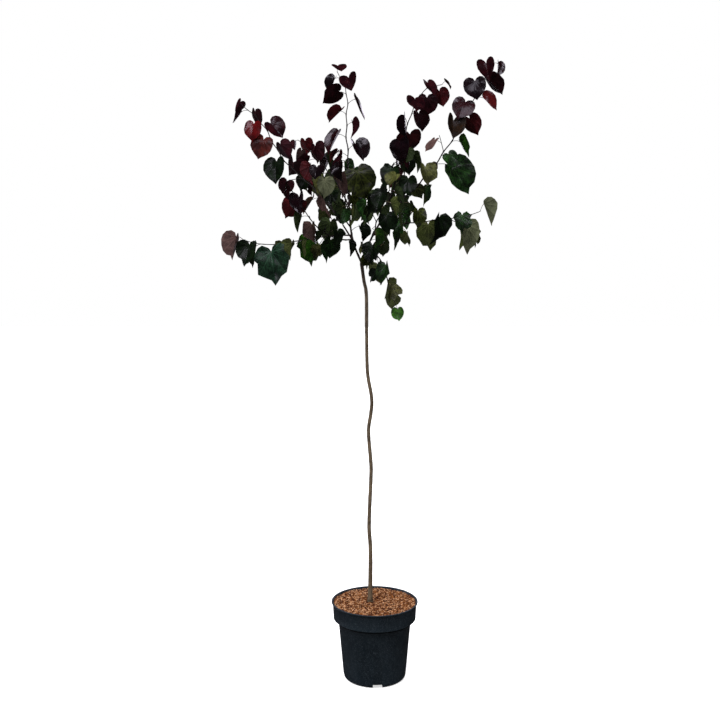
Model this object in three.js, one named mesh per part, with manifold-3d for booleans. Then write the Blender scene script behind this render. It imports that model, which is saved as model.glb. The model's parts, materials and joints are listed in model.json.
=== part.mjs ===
// A young redbud tree on a clear stem, in a nursery pot.
// Millimetres, +Z up. X runs to the right of the crown's front, Y away from it.
// The origin is the centre of the pot's flat underside.

import * as THREE from "three";
import { mergeVertices } from "three/addons/utils/BufferGeometryUtils.js";
import Module from "manifold-3d";

const wasm = await Module();
wasm.setup();

// ---------------------------------------------------------------- driving dimensions

const CLEARANCE = 0.3;

const POT = {
  height: 272,
  footRadius: 100,
  cornerRadius: 13,
  cornerHeight: 22,
  bodyRadius: 113,
  shoulderRadius: 131,
  shoulderHeight: 194,
  collarRadius: 149,
  collarHeight: 212,
  rimRadius: 157,
  rimThickness: 4.5,
  wall: 3,
  floor: 17,
  collarLean: 3.5,
  edgeRound: 1,
  cornerTurns: [0, 30, 60, 85],
  sides: 36,
  notches: 4,
  notchTurn: 5,
  notchWidth: 35,
  notchHeight: 14,
  notchDepth: 34,
};

const SOIL = {
  edgeHeight: 266,
  shoulderHeight: 267.5,
  crownHeight: 269,
  crownRadius: 30,
  shoulder: 25,
  gap: 0.5,
};

// The stem sways a little: each bend is a height and how far the stem stands off the axis.
const TRUNK = {
  foot: [-16, 0, SOIL.crownHeight + CLEARANCE],
  bends: [
    [455, -15], [545, -20], [700, -14], [765, -13], [885, -22], [955, -13],
    [1010, -11], [1105, -26], [1250, -29], [1385, -30], [1435, -39],
  ],
  head: [-48, 0, 1503],
  footRadius: 7.3,
  headRadius: 6,
  butt: 1.6,
  buttHeight: 130,
  flare: 2,
  flareHeight: 14,
  headCap: 5,
  headTaper: 0.8,
  spans: 24,
  sides: 10,
};

// Limbs in growing order. `at` is the distance along the parent where a limb starts, and a
// limb with no parent starts at the trunk's head. It runs in one upright plane at `heading`,
// and `pitches` are its angles over the level, evenly spaced along it. The first `bough`
// millimetres are bare, and the rest is the stem of its foliage. `roll` turns the two ranks
// of leaves about the stem, `hang` is how far the blades droop and `face` how they turn.
// `large` gives single leaves a width of their own, by their place along the stem, and
// `twigs` are the places where a side twig stands in for a leaf. `young` is the share of the
// stem, from its tip, whose leaves are still wine red.
const LIMBS = [
  { name: "leader", parent: null, at: 0, heading: 160, length: 720,
    bough: 255, thick: 3.9, pitches: [60, 85, 90, 85, 95, 50],
    leaves: 12, size: 82, tipSize: 0.8, large: { 1: 105 }, first: 1,
    roll: 90, hang: 0.7, face: 0, twigs: [], twig: 0,
    young: 0.85, seed: 51 },
  { name: "left_high", parent: "leader", at: 80, heading: -170, length: 640,
    bough: 80, thick: 3.0, pitches: [60, 50, 40, 65, 30],
    leaves: 14, size: 76, tipSize: 0.7, large: {}, first: 1,
    roll: 75, hang: 0.7, face: 0, twigs: [1, 4], twig: 80,
    young: 0.75, seed: 42 },
  { name: "left_low", parent: "leader", at: 105, heading: -160, length: 408,
    bough: 60, thick: 2.7, pitches: [0, -10, -10, 20],
    leaves: 8, size: 90, tipSize: 0.7, large: { 1: 105, 4: 120, 7: 85 }, first: 1,
    roll: 15, hang: 0.9, face: 0, twigs: [2], twig: 80,
    young: 0.1, seed: 113 },
  { name: "left_mid", parent: "leader", at: 90, heading: -135, length: 380,
    bough: 60, thick: 2.6, pitches: [-10, 20, 50, 45],
    leaves: 8, size: 82, tipSize: 0.7, large: {}, first: -1,
    roll: 30, hang: 0.85, face: 0, twigs: [1, 3], twig: 75,
    young: 0.5, seed: 4 },
  { name: "left_inner", parent: "leader", at: 210, heading: 140, length: 380,
    bough: 60, thick: 2.6, pitches: [60, 50, 40, 40],
    leaves: 9, size: 82, tipSize: 0.7, large: {}, first: 1,
    roll: 45, hang: 0.8, face: 0, twigs: [2], twig: 75,
    young: 0.5, seed: 5 },
  { name: "right_tall", parent: null, at: 0, heading: 15, length: 765,
    bough: 225, thick: 3.9, pitches: [70, 60, 70, 80, 75, 65, 0],
    leaves: 13, size: 80, tipSize: 0.75, large: {}, first: -1,
    roll: 60, hang: 0.75, face: 0, twigs: [1, 3], twig: 85,
    young: 0.75, seed: 6 },
  { name: "right_far", parent: "right_tall", at: 150, heading: -10, length: 715,
    bough: 70, thick: 3.2, pitches: [45, 45, 55, 65, 60],
    leaves: 15, size: 82, tipSize: 0.8, large: { 4: 115 }, first: 1,
    roll: 60, hang: 0.8, face: 0, twigs: [1, 5], twig: 90,
    young: 0.6, seed: 57 },
  { name: "right_low", parent: "right_tall", at: 105, heading: -20, length: 410,
    bough: 60, thick: 2.7, pitches: [30, 5, 5, 15],
    leaves: 8, size: 90, tipSize: 0.8, large: { 4: 115, 7: 80 }, first: 1,
    roll: 30, hang: 0.9, face: 0, twigs: [1, 4], twig: 80,
    young: 0, seed: 8 },
  { name: "hanging", parent: null, at: 0, heading: -50, length: 310,
    bough: 50, thick: 2.4, pitches: [70, -40, -75, -50],
    leaves: 8, size: 72, tipSize: 0.8, large: {}, first: -1,
    roll: 60, hang: 0.9, face: 0, twigs: [], twig: 70,
    young: 0, seed: 9 },
  { name: "front", parent: "right_tall", at: 90, heading: -80, length: 380,
    bough: 60, thick: 2.6, pitches: [25, 25, 25, 20],
    leaves: 8, size: 84, tipSize: 0.7, large: {}, first: 1,
    roll: 30, hang: 0.85, face: 0, twigs: [1, 3], twig: 75,
    young: 0.15, seed: 10 },
  { name: "left_front", parent: "leader", at: 135, heading: -110, length: 380,
    bough: 60, thick: 2.6, pitches: [20, 30, 30, 30],
    leaves: 8, size: 85, tipSize: 0.7, large: {}, first: -1,
    roll: 30, hang: 0.85, face: 0, twigs: [1, 3], twig: 75,
    young: 0.25, seed: 11 },
  { name: "back_right", parent: "right_tall", at: 210, heading: 75, length: 400,
    bough: 60, thick: 2.7, pitches: [30, 40, 40, 40],
    leaves: 9, size: 85, tipSize: 0.7, large: {}, first: -1,
    roll: 30, hang: 0.85, face: 0, twigs: [1, 4], twig: 80,
    young: 0.25, seed: 12 },
  { name: "back_left", parent: "leader", at: 150, heading: 100, length: 440,
    bough: 60, thick: 2.7, pitches: [45, 40, 45, 45],
    leaves: 9, size: 85, tipSize: 0.7, large: {}, first: -1,
    roll: 30, hang: 0.85, face: 0, twigs: [1, 4], twig: 80,
    young: 0.25, seed: 13 },
];

const BOUGH = { sides: 8, collarSwell: 1.25, collarLength: 12, endRing: 2 };
const STEM = { sides: 5, tipRadius: 1.2, zigzag: 3.2, bare: 12, end: 2, closing: 0.5, turn: 25 };
const TWIG = {
  sides: 4,
  spans: 4,
  footRadius: 1.5,
  tipRadius: 1.1,
  ahead: 0.55,
  aside: 0.85,
  rise: 0.15,
  reach: [0.8, 1.1],
  sag: 0.12,
  leaves: 3,
  leafAside: 0.9,
  endLeafOut: 0.3,
  leafSize: 0.95,
  leafShrink: 0.12,
};
const PETIOLE = { halfWidth: 1.2, reach: [0.32, 0.5], ahead: 0.6, aside: 0.8, bend: 0.55, droop: 0.35 };

// Half the outline of a leaf of unit length: along the midrib from the notch, and out from it.
const HALF_OUTLINE = [[-0.15, 0.27], [0.05, 0.57], [0.42, 0.6], [0.75, 0.33]];
const LEAF = {
  thickness: 0.016,
  thinnest: 1.0,
  largestFold: 50,
  curl: [-0.1, 0.28],
  cupping: 0.6,
  facing: [0.8, 0.6],
  turn: 80,
  hangSpread: 0.25,
  sway: 0.2,
  sizes: [0.78, 1.08],
  shrinkFrom: 0.55,
  shrinkPower: 1.3,
  endSize: 0.7,
};

const STEP = 15;
const LEAF_TRIES = 14;
const SPACE = { sameMass: 7, otherMass: 10, limb: 7.5, limbShare: 0.15, twig: 14, ownPetiole: 0.1 };

// ---------------------------------------------------------------- small helpers

const UP = new THREE.Vector3(0, 0, 1);
const vec = (x, y, z) => new THREE.Vector3(x, y, z);
const radians = THREE.MathUtils.degToRad;
const mix = THREE.MathUtils.lerp;

// A seeded run of numbers from 0 to 1, the same on every machine.
class Draw {
  constructor(seed) {
    this.state = (Math.imul(seed, 747796405) + 2891336453) >>> 0;
    for (let i = 0; i < 3; i += 1) this.next();
  }
  next() {
    this.state = (Math.imul(this.state, 1664525) + 1013904223) >>> 0;
    return this.state / 2 ** 32;
  }
  between(low, high) {
    return low + (high - low) * this.next();
  }
  spread(width) {
    return this.between(-width, width);
  }
}

function toSolid(geometry) {
  const bare = new THREE.BufferGeometry();
  bare.setAttribute("position", geometry.getAttribute("position"));
  bare.setIndex(geometry.index);
  const merged = mergeVertices(bare, 1e-4);
  return new wasm.Manifold(new wasm.Mesh({
    numProp: 3,
    vertProperties: new Float32Array(merged.getAttribute("position").array),
    triVerts: new Uint32Array(merged.index.array),
  }));
}

function toGeometry(solid) {
  const mesh = solid.getMesh();
  const geometry = new THREE.BufferGeometry();
  geometry.setAttribute("position", new THREE.BufferAttribute(mesh.vertProperties, 3));
  geometry.setIndex(new THREE.BufferAttribute(mesh.triVerts, 1));
  geometry.computeVertexNormals();
  return geometry;
}

// Only the largest body is kept: a scrap left by a cut or an unjoined twig is dropped.
function largestBody(solid) {
  const bodies = solid.decompose();
  return bodies.reduce((best, body) => (body.volume() > best.volume() ? body : best));
}

// A tapering bar: a cylinder whose rings are moved along a line of points.
function bentBar(points, radii, sides, firstDirection) {
  const spans = points.length - 1;
  const geometry = new THREE.CylinderGeometry(1, 1, spans, sides, spans);
  const frames = points.map((point, i) => {
    const back = points[Math.max(i - 1, 0)];
    const ahead = points[Math.min(i + 1, spans)];
    const along = i === 0 && firstDirection
      ? firstDirection.clone()
      : ahead.clone().sub(back).normalize();
    return { point, along };
  });
  const across = Math.abs(frames[0].along.z) < 0.9 ? UP.clone() : vec(1, 0, 0);
  for (const frame of frames) {
    across.addScaledVector(frame.along, -across.dot(frame.along)).normalize();
    frame.across = across.clone();
    frame.third = across.clone().cross(frame.along);
  }
  const position = geometry.getAttribute("position");
  for (let v = 0; v < position.count; v += 1) {
    const ring = Math.round(position.getY(v) + spans / 2);
    const { point, across: right, third } = frames[ring];
    const moved = point.clone()
      .addScaledVector(right, position.getX(v) * radii[ring])
      .addScaledVector(third, position.getZ(v) * radii[ring]);
    position.setXYZ(v, moved.x, moved.y, moved.z);
  }
  return toSolid(geometry);
}

// ---------------------------------------------------------------- pot, soil and trunk

function lathe(profile, sides) {
  const outline = profile.map(([radius, height]) => new THREE.Vector2(radius, height));
  const geometry = new THREE.LatheGeometry(outline, sides);
  geometry.rotateX(Math.PI / 2);
  return toSolid(geometry);
}

function roundedCorner(from, radius, turns) {
  const [cornerX, cornerZ] = from;
  return turns.map((turn) => [
    cornerX + radius * Math.sin(radians(turn)),
    cornerZ + radius * (1 - Math.cos(radians(turn))),
  ]);
}

function potSolid() {
  const p = POT;
  const profile = [
    [0, 0],
    ...roundedCorner([p.footRadius, 0], p.cornerRadius, p.cornerTurns),
    [p.shoulderRadius, p.shoulderHeight],
    [p.collarRadius, p.collarHeight],
    [p.collarRadius + p.collarLean, p.height - p.rimThickness - p.edgeRound],
    [p.rimRadius - p.edgeRound, p.height - p.rimThickness],
    [p.rimRadius, p.height - p.rimThickness + p.edgeRound],
    [p.rimRadius, p.height - p.edgeRound],
    [p.rimRadius - p.edgeRound, p.height],
    [p.collarRadius + p.edgeRound, p.height],
    [p.collarRadius, p.height - p.edgeRound],
    [p.collarRadius - p.wall, p.collarHeight],
    [p.shoulderRadius - p.wall, p.shoulderHeight],
    [p.bodyRadius - p.wall, p.cornerHeight],
    [p.bodyRadius - 2 * p.wall, p.floor],
    [0, p.floor],
  ];
  let pot = lathe(profile, p.sides);
  for (let i = 0; i < p.notches; i += 1) {
    const notch = new THREE.BoxGeometry(p.notchWidth, 2 * p.notchDepth, 2 * p.notchHeight);
    notch.translate(0, -p.bodyRadius, 0);
    notch.rotateZ(radians(p.notchTurn) + (i * 2 * Math.PI) / p.notches);
    pot = pot.subtract(toSolid(notch));
  }
  return pot;
}

// The soil fills the pot: its side follows the inner wall, a gap inside it.
function soilSolid() {
  const p = POT;
  const inset = p.wall + SOIL.gap;
  const filled = (SOIL.edgeHeight - p.collarHeight) / (p.height - p.collarHeight);
  const profile = [
    [0, p.floor + CLEARANCE],
    [p.bodyRadius - p.wall - inset, p.floor + CLEARANCE],
    [p.bodyRadius - inset, p.cornerHeight],
    [p.shoulderRadius - inset, p.shoulderHeight],
    [p.collarRadius - inset, p.collarHeight],
    [p.collarRadius - inset + filled * p.wall, SOIL.edgeHeight],
    [p.collarRadius - SOIL.shoulder, SOIL.shoulderHeight],
    [SOIL.crownRadius, SOIL.crownHeight],
    [0, SOIL.crownHeight],
  ];
  return lathe(profile, p.sides);
}

function trunkLine() {
  const foot = vec(...TRUNK.foot);
  const head = vec(...TRUNK.head);
  const bends = TRUNK.bends.map(([height, x]) => vec(x, 0, height));
  return [foot, foot.clone().setZ(foot.z + TRUNK.flareHeight), ...bends, head];
}

function trunkSolid(extra = 0) {
  const curve = new THREE.CatmullRomCurve3(trunkLine().slice(1), false, "centripetal");
  const points = [vec(...TRUNK.foot), ...curve.getPoints(TRUNK.spans)];
  const top = points.at(-1);
  const upward = top.clone().sub(points.at(-2)).normalize();
  points.push(top.clone().addScaledVector(upward, TRUNK.headCap + extra));
  const rise = TRUNK.head[2] - TRUNK.foot[2];
  const radii = points.map((point, i) => {
    const above = point.z - TRUNK.foot[2];
    const butt = TRUNK.butt * Math.exp(-above / TRUNK.buttHeight);
    const flare = TRUNK.flare * Math.exp(-above / (TRUNK.flareHeight / 2));
    const knuckle = i === points.length - 1 ? TRUNK.headTaper : 1;
    return (mix(TRUNK.footRadius, TRUNK.headRadius, above / rise) + butt + flare) * knuckle + extra;
  });
  return bentBar(points, radii, TRUNK.sides);
}

// ---------------------------------------------------------------- limbs

function limbLine(start, limb) {
  const spans = Math.ceil(limb.length / STEP);
  const step = limb.length / spans;
  const heading = radians(limb.heading);
  const points = [start.clone()];
  for (let i = 0; i < spans; i += 1) {
    const place = ((i + 0.5) / spans) * (limb.pitches.length - 1);
    const below = Math.min(Math.floor(place), limb.pitches.length - 2);
    const pitch = radians(mix(limb.pitches[below], limb.pitches[below + 1], place - below));
    const level = step * Math.cos(pitch);
    const rise = step * Math.sin(pitch);
    points.push(points.at(-1).clone()
      .add(vec(level * Math.cos(heading), level * Math.sin(heading), rise)));
  }
  return { points, step };
}

function placeOn(line, distance) {
  const last = line.points.length - 1;
  const place = THREE.MathUtils.clamp(distance / line.step, 0, last - 1e-9);
  const below = Math.floor(place);
  const [from, to] = [line.points[below], line.points[below + 1]];
  return {
    point: from.clone().lerp(to, place - below),
    along: to.clone().sub(from).normalize(),
  };
}

function limbRadius(limb, distance) {
  const swell = 1 + (BOUGH.collarSwell - 1) * Math.exp(-distance / BOUGH.collarLength);
  return mix(limb.thick, STEM.tipRadius, distance / limb.length) * swell;
}

// The bare part of a limb. `extra` makes it fatter and longer, to cut clear what starts on it.
function boughSolid(limb, line, extra = 0) {
  const spans = Math.max(3, Math.round(limb.bough / (2 * STEP)));
  const points = [];
  const radii = [];
  for (let i = 0; i <= spans; i += 1) {
    const distance = (limb.bough * i) / spans;
    const { point, along } = placeOn(line, distance);
    if (i === spans) point.addScaledVector(along, extra);
    points.push(point);
    radii.push(limbRadius(limb, distance) + extra);
  }
  const { along } = placeOn(line, limb.bough);
  points.splice(-1, 0, points.at(-1).clone().addScaledVector(along, -BOUGH.endRing));
  radii.splice(-1, 0, radii.at(-1));
  return bentBar(points, radii, BOUGH.sides);
}

// ---------------------------------------------------------------- leaves

function leafSurface(leaf, u, v) {
  const lift = Math.abs(v) * Math.sin(leaf.fold) - leaf.curl * (u * u + LEAF.cupping * v * v);
  return leaf.base.clone()
    .addScaledVector(leaf.axis, leaf.size * u)
    .addScaledVector(leaf.side, leaf.size * v * Math.cos(leaf.fold))
    .addScaledVector(leaf.normal, leaf.size * lift);
}

function newLeaf(draw, node, along, side, size, limb) {
  const reach = size * draw.between(...PETIOLE.reach);
  const out = along.clone().multiplyScalar(PETIOLE.ahead)
    .addScaledVector(side, PETIOLE.aside).normalize();
  const bend = node.clone().addScaledVector(out, reach * PETIOLE.bend);
  const drooped = out.clone().addScaledVector(UP, -PETIOLE.droop).normalize();
  const base = bend.clone().addScaledVector(drooped, reach * (1 - PETIOLE.bend));
  const level = vec(out.x, out.y, 0);
  if (level.lengthSq() > 1e-4) level.normalize();
  else level.set(1, 0, 0);
  const hang = limb.hang + draw.spread(LEAF.hangSpread);
  const sway = vec(draw.spread(LEAF.sway), draw.spread(LEAF.sway), draw.spread(LEAF.sway));
  const axis = level.clone().multiplyScalar(1 - hang).addScaledVector(UP, -hang)
    .add(sway).normalize();
  const [outward, upward] = LEAF.facing;
  const facing = level.clone().multiplyScalar(outward).addScaledVector(UP, upward);
  facing.addScaledVector(axis, -facing.dot(axis)).normalize();
  const normal = facing.applyAxisAngle(axis, radians(limb.face + draw.spread(LEAF.turn)));
  const blade = axis.clone().cross(normal);
  const fold = radians(draw.between(0, LEAF.largestFold));
  const curl = draw.between(...LEAF.curl);
  return { node, bend, base, axis, normal, side: blade, fold, curl, size };
}

// A heart with an even thickness, folded up along its midrib, that carries on at its notch
// into a three-sided petiole. The petiole's foot lies on the middle of the stem.
function leafSolid(leaf) {
  const mirrored = HALF_OUTLINE.map(([u, v]) => [u, -v]).reverse();
  const edge = [...HALF_OUTLINE, [1, 0], ...mirrored];
  const half = Math.max(LEAF.thinnest, leaf.size * LEAF.thickness) / 2;
  const wide = PETIOLE.halfWidth;
  const points = [];
  const ring = (centre, across, up) => {
    points.push(centre.clone().addScaledVector(up, half));
    points.push(centre.clone().addScaledVector(across, wide).addScaledVector(up, -half));
    points.push(centre.clone().addScaledVector(across, -wide).addScaledVector(up, -half));
  };
  for (const [from, to] of [[leaf.node, leaf.bend], [leaf.bend, leaf.base]]) {
    const along = to.clone().sub(from).normalize();
    const across = leaf.side.clone().addScaledVector(along, -leaf.side.dot(along)).normalize();
    ring(from, across, across.clone().cross(along));
  }
  ring(leaf.base, leaf.side, leaf.normal);
  const top = points.length;
  for (const lift of [half, -half]) {
    for (const [u, v] of edge) {
      points.push(leafSurface(leaf, u, v).addScaledVector(leaf.normal, lift));
    }
  }
  const under = top + edge.length;
  const index = [0, 2, 1];
  for (let r = 0; r < 6; r += 3) {
    for (let k = 0; k < 3; k += 1) {
      const next = (k + 1) % 3;
      index.push(r + k, r + next, r + 3 + next, r + k, r + 3 + next, r + 3 + k);
    }
  }
  const [notchTop, notchRight, notchLeft] = [6, 7, 8];
  const tip = HALF_OUTLINE.length;
  for (let i = 0; i < edge.length - 1; i += 1) {
    const notchUnder = i < tip ? notchRight : notchLeft;
    index.push(notchTop, top + i, top + i + 1, notchUnder, under + i + 1, under + i);
    index.push(top + i, under + i + 1, top + i + 1, top + i, under + i, under + i + 1);
  }
  const last = edge.length - 1;
  index.push(notchRight, notchLeft, under + tip);
  index.push(notchTop, notchRight, under, notchTop, under, top);
  index.push(notchTop, top + last, under + last, notchTop, under + last, notchLeft);
  const geometry = new THREE.BufferGeometry();
  geometry.setAttribute("position",
    new THREE.Float32BufferAttribute(points.flatMap((p) => p.toArray()), 3));
  geometry.setIndex(index);
  return toSolid(geometry);
}

// Points spread over a blade and its petiole, for testing what they would touch.
function halfWidthAt(u) {
  const edge = [...HALF_OUTLINE, [1, 0]];
  if (u <= edge[0][0]) return edge[0][1];
  const i = edge.findIndex(([along]) => along >= u);
  const [u0, v0] = edge[i - 1];
  const [u1, v1] = edge[i];
  return mix(v0, v1, (u - u0) / (u1 - u0));
}

function bladeGrid() {
  const grid = [];
  for (const u of [-0.12, -0.02, 0.1, 0.22, 0.34, 0.46, 0.58, 0.7, 0.82]) {
    for (let k = -4; k <= 4; k += 1) {
      if (u < 0 && k === 0) continue;
      grid.push([u, (k / 4) * halfWidthAt(u)]);
    }
  }
  return [...grid, [0.91, -0.08], [0.91, 0.08], [0.91, 0], [1, 0]];
}

const BLADE_GRID = bladeGrid();

function petiolePoints(leaf) {
  return [leaf.node.clone().lerp(leaf.bend, 0.5), leaf.bend, leaf.bend.clone().lerp(leaf.base, 0.5)];
}

// ---------------------------------------------------------------- the space each thing keeps

class Space {
  constructor(limbPoints) {
    this.limbPoints = limbPoints;
    this.taken = [];
  }
  static ball(points) {
    const centre = points.reduce((sum, p) => sum.add(p), vec(0, 0, 0))
      .divideScalar(points.length);
    const radius = Math.max(...points.map((p) => p.distanceTo(centre)));
    return { centre, radius };
  }
  static closer(first, second, gap) {
    const square = gap * gap;
    return first.some((a) => second.some((b) => a.distanceToSquared(b) < square));
  }
  nearLimb(points, gap) {
    const { centre, radius } = Space.ball(points);
    const close = this.limbPoints.filter((p) => p.distanceTo(centre) < radius + gap);
    return Space.closer(points, close, gap);
  }
  nearOthers(points, owner) {
    const { centre, radius } = Space.ball(points);
    return this.taken.some((other) => {
      if (other.centre.distanceTo(centre) > other.radius + radius + SPACE.otherMass) {
        return false;
      }
      const gap = other.owner === owner ? SPACE.sameMass : SPACE.otherMass;
      return Space.closer(points, other.points, gap);
    });
  }
  take(points, owner) {
    this.taken.push({ points, owner, ...Space.ball(points) });
  }
}

function withMiddles(points) {
  const middles = points.slice(1).map((point, i) => point.clone().lerp(points[i], 0.5));
  return [...points, ...middles];
}

function everyLimbPoint(lines) {
  const points = [];
  for (const line of lines.values()) points.push(...withMiddles(line.points));
  const trunk = [...TRUNK.bends.map(([height, x]) => vec(x, 0, height)), vec(...TRUNK.head)];
  for (let i = 0; i < trunk.length - 1; i += 1) {
    const spans = Math.ceil((trunk[i + 1].z - trunk[i].z) / (STEP / 2));
    for (let k = 0; k < spans; k += 1) points.push(trunk[i].clone().lerp(trunk[i + 1], k / spans));
  }
  return points;
}

// ---------------------------------------------------------------- masses of foliage

function leafNodes(limb) {
  const first = limb.bough + STEM.bare;
  const span = limb.length - first - STEM.end;
  const gaps = [];
  const count = limb.leaves - 1;
  for (let i = 0; i < count; i += 1) gaps.push(1 - (STEM.closing * i) / count);
  const whole = gaps.reduce((sum, gap) => sum + gap, 0);
  const nodes = [first];
  for (const gap of gaps) nodes.push(nodes.at(-1) + (gap / whole) * span);
  return nodes;
}

function growMass(limb, line, space) {
  const draw = new Draw(limb.seed);
  const nodes = leafNodes(limb);
  const heading = radians(limb.heading);
  const level = vec(-Math.sin(heading), Math.cos(heading), 0);
  const grown = { joints: [], twigs: [], leaves: [] };
  let hand = limb.first;

  const ranked = (along, roll) => {
    const across = level.clone().cross(along);
    return level.clone().multiplyScalar(Math.cos(radians(roll)) * hand)
      .addScaledVector(across, Math.sin(radians(roll)) * hand);
  };

  nodes.forEach((distance, i) => {
    const share = (distance - limb.bough) / (limb.length - limb.bough);
    const { point, along } = placeOn(line, distance);
    const offset = STEM.zigzag * (1 - STEM.closing * share);
    point.addScaledVector(ranked(along, limb.roll), offset);
    const side = ranked(along, limb.roll + draw.spread(STEM.turn));
    hand = -hand;
    grown.joints.push({ point, distance });

    const nearTip = Math.max(0, (share - LEAF.shrinkFrom) / (1 - LEAF.shrinkFrom));
    const shrink = 1 - (1 - limb.tipSize) * nearTip ** LEAF.shrinkPower;
    const last = i === nodes.length - 1 ? LEAF.endSize : 1;
    const usual = limb.size * shrink * last * draw.between(...LEAF.sizes);
    const size = limb.large[i] ?? usual;
    const seed = Math.floor(draw.next() * 1e6);

    let origins = [{ point, along, side, size }];
    if (limb.twigs.includes(i)) {
      const reach = limb.twig * draw.between(...TWIG.reach);
      const twig = growTwig(point, along, side, reach, size);
      const tested = withMiddles(twig.points.slice(1));
      if (!space.nearLimb(tested, SPACE.twig) && !space.nearOthers(tested, limb.name)) {
        grown.twigs.push(twig.points);
        space.take(tested, limb.name);
        origins = twig.origins;
      }
    }
    origins.forEach((origin, k) => {
      const turns = new Draw(seed + k);
      for (let attempt = 0; attempt < LEAF_TRIES; attempt += 1) {
        const from = origin.side.clone().normalize();
        const leaf = newLeaf(turns, origin.point, origin.along, from, origin.size, limb);
        const blade = BLADE_GRID.map(([u, v]) => leafSurface(leaf, u, v));
        const points = [...blade, ...petiolePoints(leaf)];
        const gap = Math.min(SPACE.limb, SPACE.limbShare * leaf.size);
        if (Space.closer(blade, petiolePoints(leaf).slice(0, 2), SPACE.ownPetiole * leaf.size)) {
          continue;
        }
        if (space.nearLimb(blade, gap)) continue;
        if (space.nearOthers(points, limb.name)) continue;
        grown.leaves.push(leaf);
        space.take(points, limb.name);
        break;
      }
    });
  });
  return grown;
}

function growTwig(foot, along, side, reach, size) {
  const out = along.clone().multiplyScalar(TWIG.ahead).addScaledVector(side, TWIG.aside)
    .addScaledVector(UP, TWIG.rise).normalize();
  const points = [];
  for (let k = 0; k <= TWIG.spans; k += 1) {
    const share = k / TWIG.spans;
    points.push(foot.clone().addScaledVector(out, reach * share)
      .addScaledVector(UP, -TWIG.sag * reach * share ** 2));
  }
  const across = out.clone().cross(UP).normalize();
  const origins = [];
  for (let k = 1; k <= TWIG.leaves; k += 1) {
    const turned = across.clone().multiplyScalar(k % 2 ? TWIG.leafAside : -TWIG.leafAside);
    if (k === TWIG.leaves) turned.addScaledVector(side, TWIG.endLeafOut);
    const width = size * (TWIG.leafSize - TWIG.leafShrink * k);
    origins.push({ point: points[k + 1], along: out, side: turned, size: width });
  }
  return { points, origins };
}

function massSolid(limb, line, grown) {
  const start = placeOn(line, limb.bough + CLEARANCE);
  const points = [start.point, ...grown.joints.map((joint) => joint.point)];
  const radii = [limbRadius(limb, limb.bough)];
  for (const { distance } of grown.joints) radii.push(limbRadius(limb, distance));
  const parts = [bentBar(points, radii, STEM.sides, start.along)];
  for (const twig of grown.twigs) {
    const taper = twig.map((_, k) => mix(TWIG.footRadius, TWIG.tipRadius, k / TWIG.spans));
    parts.push(bentBar(twig, taper, TWIG.sides));
  }
  for (const leaf of grown.leaves) parts.push(leafSolid(leaf));
  return largestBody(wasm.Manifold.union(parts));
}

// ---------------------------------------------------------------- finishes

function finish(colour, roughness) {
  return new THREE.MeshStandardMaterial({ color: colour, roughness, metalness: 0 });
}

const FINISHES = {
  plastic: finish(0x33393d, 0.55),
  mulch: finish(0x8a5a34, 0.95),
  bark: finish(0x5a4a40, 0.8),
  greenLeaf: finish(0x2a3a22, 0.45),
  wineLeaf: finish(0x4a1420, 0.35),
};

// ---------------------------------------------------------------- the whole tree

const tree = new THREE.Group();

function add(name, solid, material) {
  const mesh = new THREE.Mesh(toGeometry(solid), material);
  mesh.name = name;
  tree.add(mesh);
}

add("pot", potSolid(), FINISHES.plastic);
add("soil", soilSolid(), FINISHES.mulch);
add("trunk", trunkSolid(), FINISHES.bark);

const lines = new Map();
for (const limb of LIMBS) {
  const start = limb.parent
    ? placeOn(lines.get(limb.parent), limb.at).point
    : vec(...TRUNK.head);
  lines.set(limb.name, limbLine(start, limb));
}

// Each bough is cut clear of the trunk and of every bough before it.
let standing = trunkSolid(CLEARANCE / Math.cos(Math.PI / TRUNK.sides));
for (const limb of LIMBS) {
  const line = lines.get(limb.name);
  const bough = largestBody(boughSolid(limb, line).subtract(standing));
  add(`${limb.name}_bough`, bough, FINISHES.bark);
  standing = standing.add(boughSolid(limb, line, CLEARANCE / Math.cos(Math.PI / BOUGH.sides)));
}

const space = new Space(everyLimbPoint(lines));
for (const limb of LIMBS) {
  const line = lines.get(limb.name);
  const grown = growMass(limb, line, space);
  const leaf = limb.young > 0.5 ? FINISHES.wineLeaf : FINISHES.greenLeaf;
  add(`${limb.name}_foliage`, massSolid(limb, line, grown), leaf);
}

export default tree;
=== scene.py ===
import json
import math
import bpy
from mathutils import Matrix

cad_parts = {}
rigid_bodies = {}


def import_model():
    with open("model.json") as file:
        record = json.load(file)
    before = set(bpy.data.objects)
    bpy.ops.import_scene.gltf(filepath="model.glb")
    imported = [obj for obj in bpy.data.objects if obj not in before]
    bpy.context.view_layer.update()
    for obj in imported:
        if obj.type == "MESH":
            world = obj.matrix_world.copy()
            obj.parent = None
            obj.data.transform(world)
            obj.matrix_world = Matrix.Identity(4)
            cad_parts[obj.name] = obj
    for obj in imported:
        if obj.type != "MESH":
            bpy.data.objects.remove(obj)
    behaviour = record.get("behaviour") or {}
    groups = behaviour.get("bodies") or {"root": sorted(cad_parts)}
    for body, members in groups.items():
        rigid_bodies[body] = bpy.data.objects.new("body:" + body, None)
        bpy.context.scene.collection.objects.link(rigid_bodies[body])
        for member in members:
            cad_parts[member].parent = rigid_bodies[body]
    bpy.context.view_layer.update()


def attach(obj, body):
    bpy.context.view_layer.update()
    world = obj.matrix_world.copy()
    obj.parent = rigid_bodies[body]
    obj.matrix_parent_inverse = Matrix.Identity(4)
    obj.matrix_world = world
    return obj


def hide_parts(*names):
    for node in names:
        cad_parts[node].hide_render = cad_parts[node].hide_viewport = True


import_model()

from types import SimpleNamespace as Facts

import bpy
import numpy as np
from mathutils import Vector, noise

BODY = "root"
MM = 0.001
UP = np.array([0.0, 0.0, 1.0])

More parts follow.
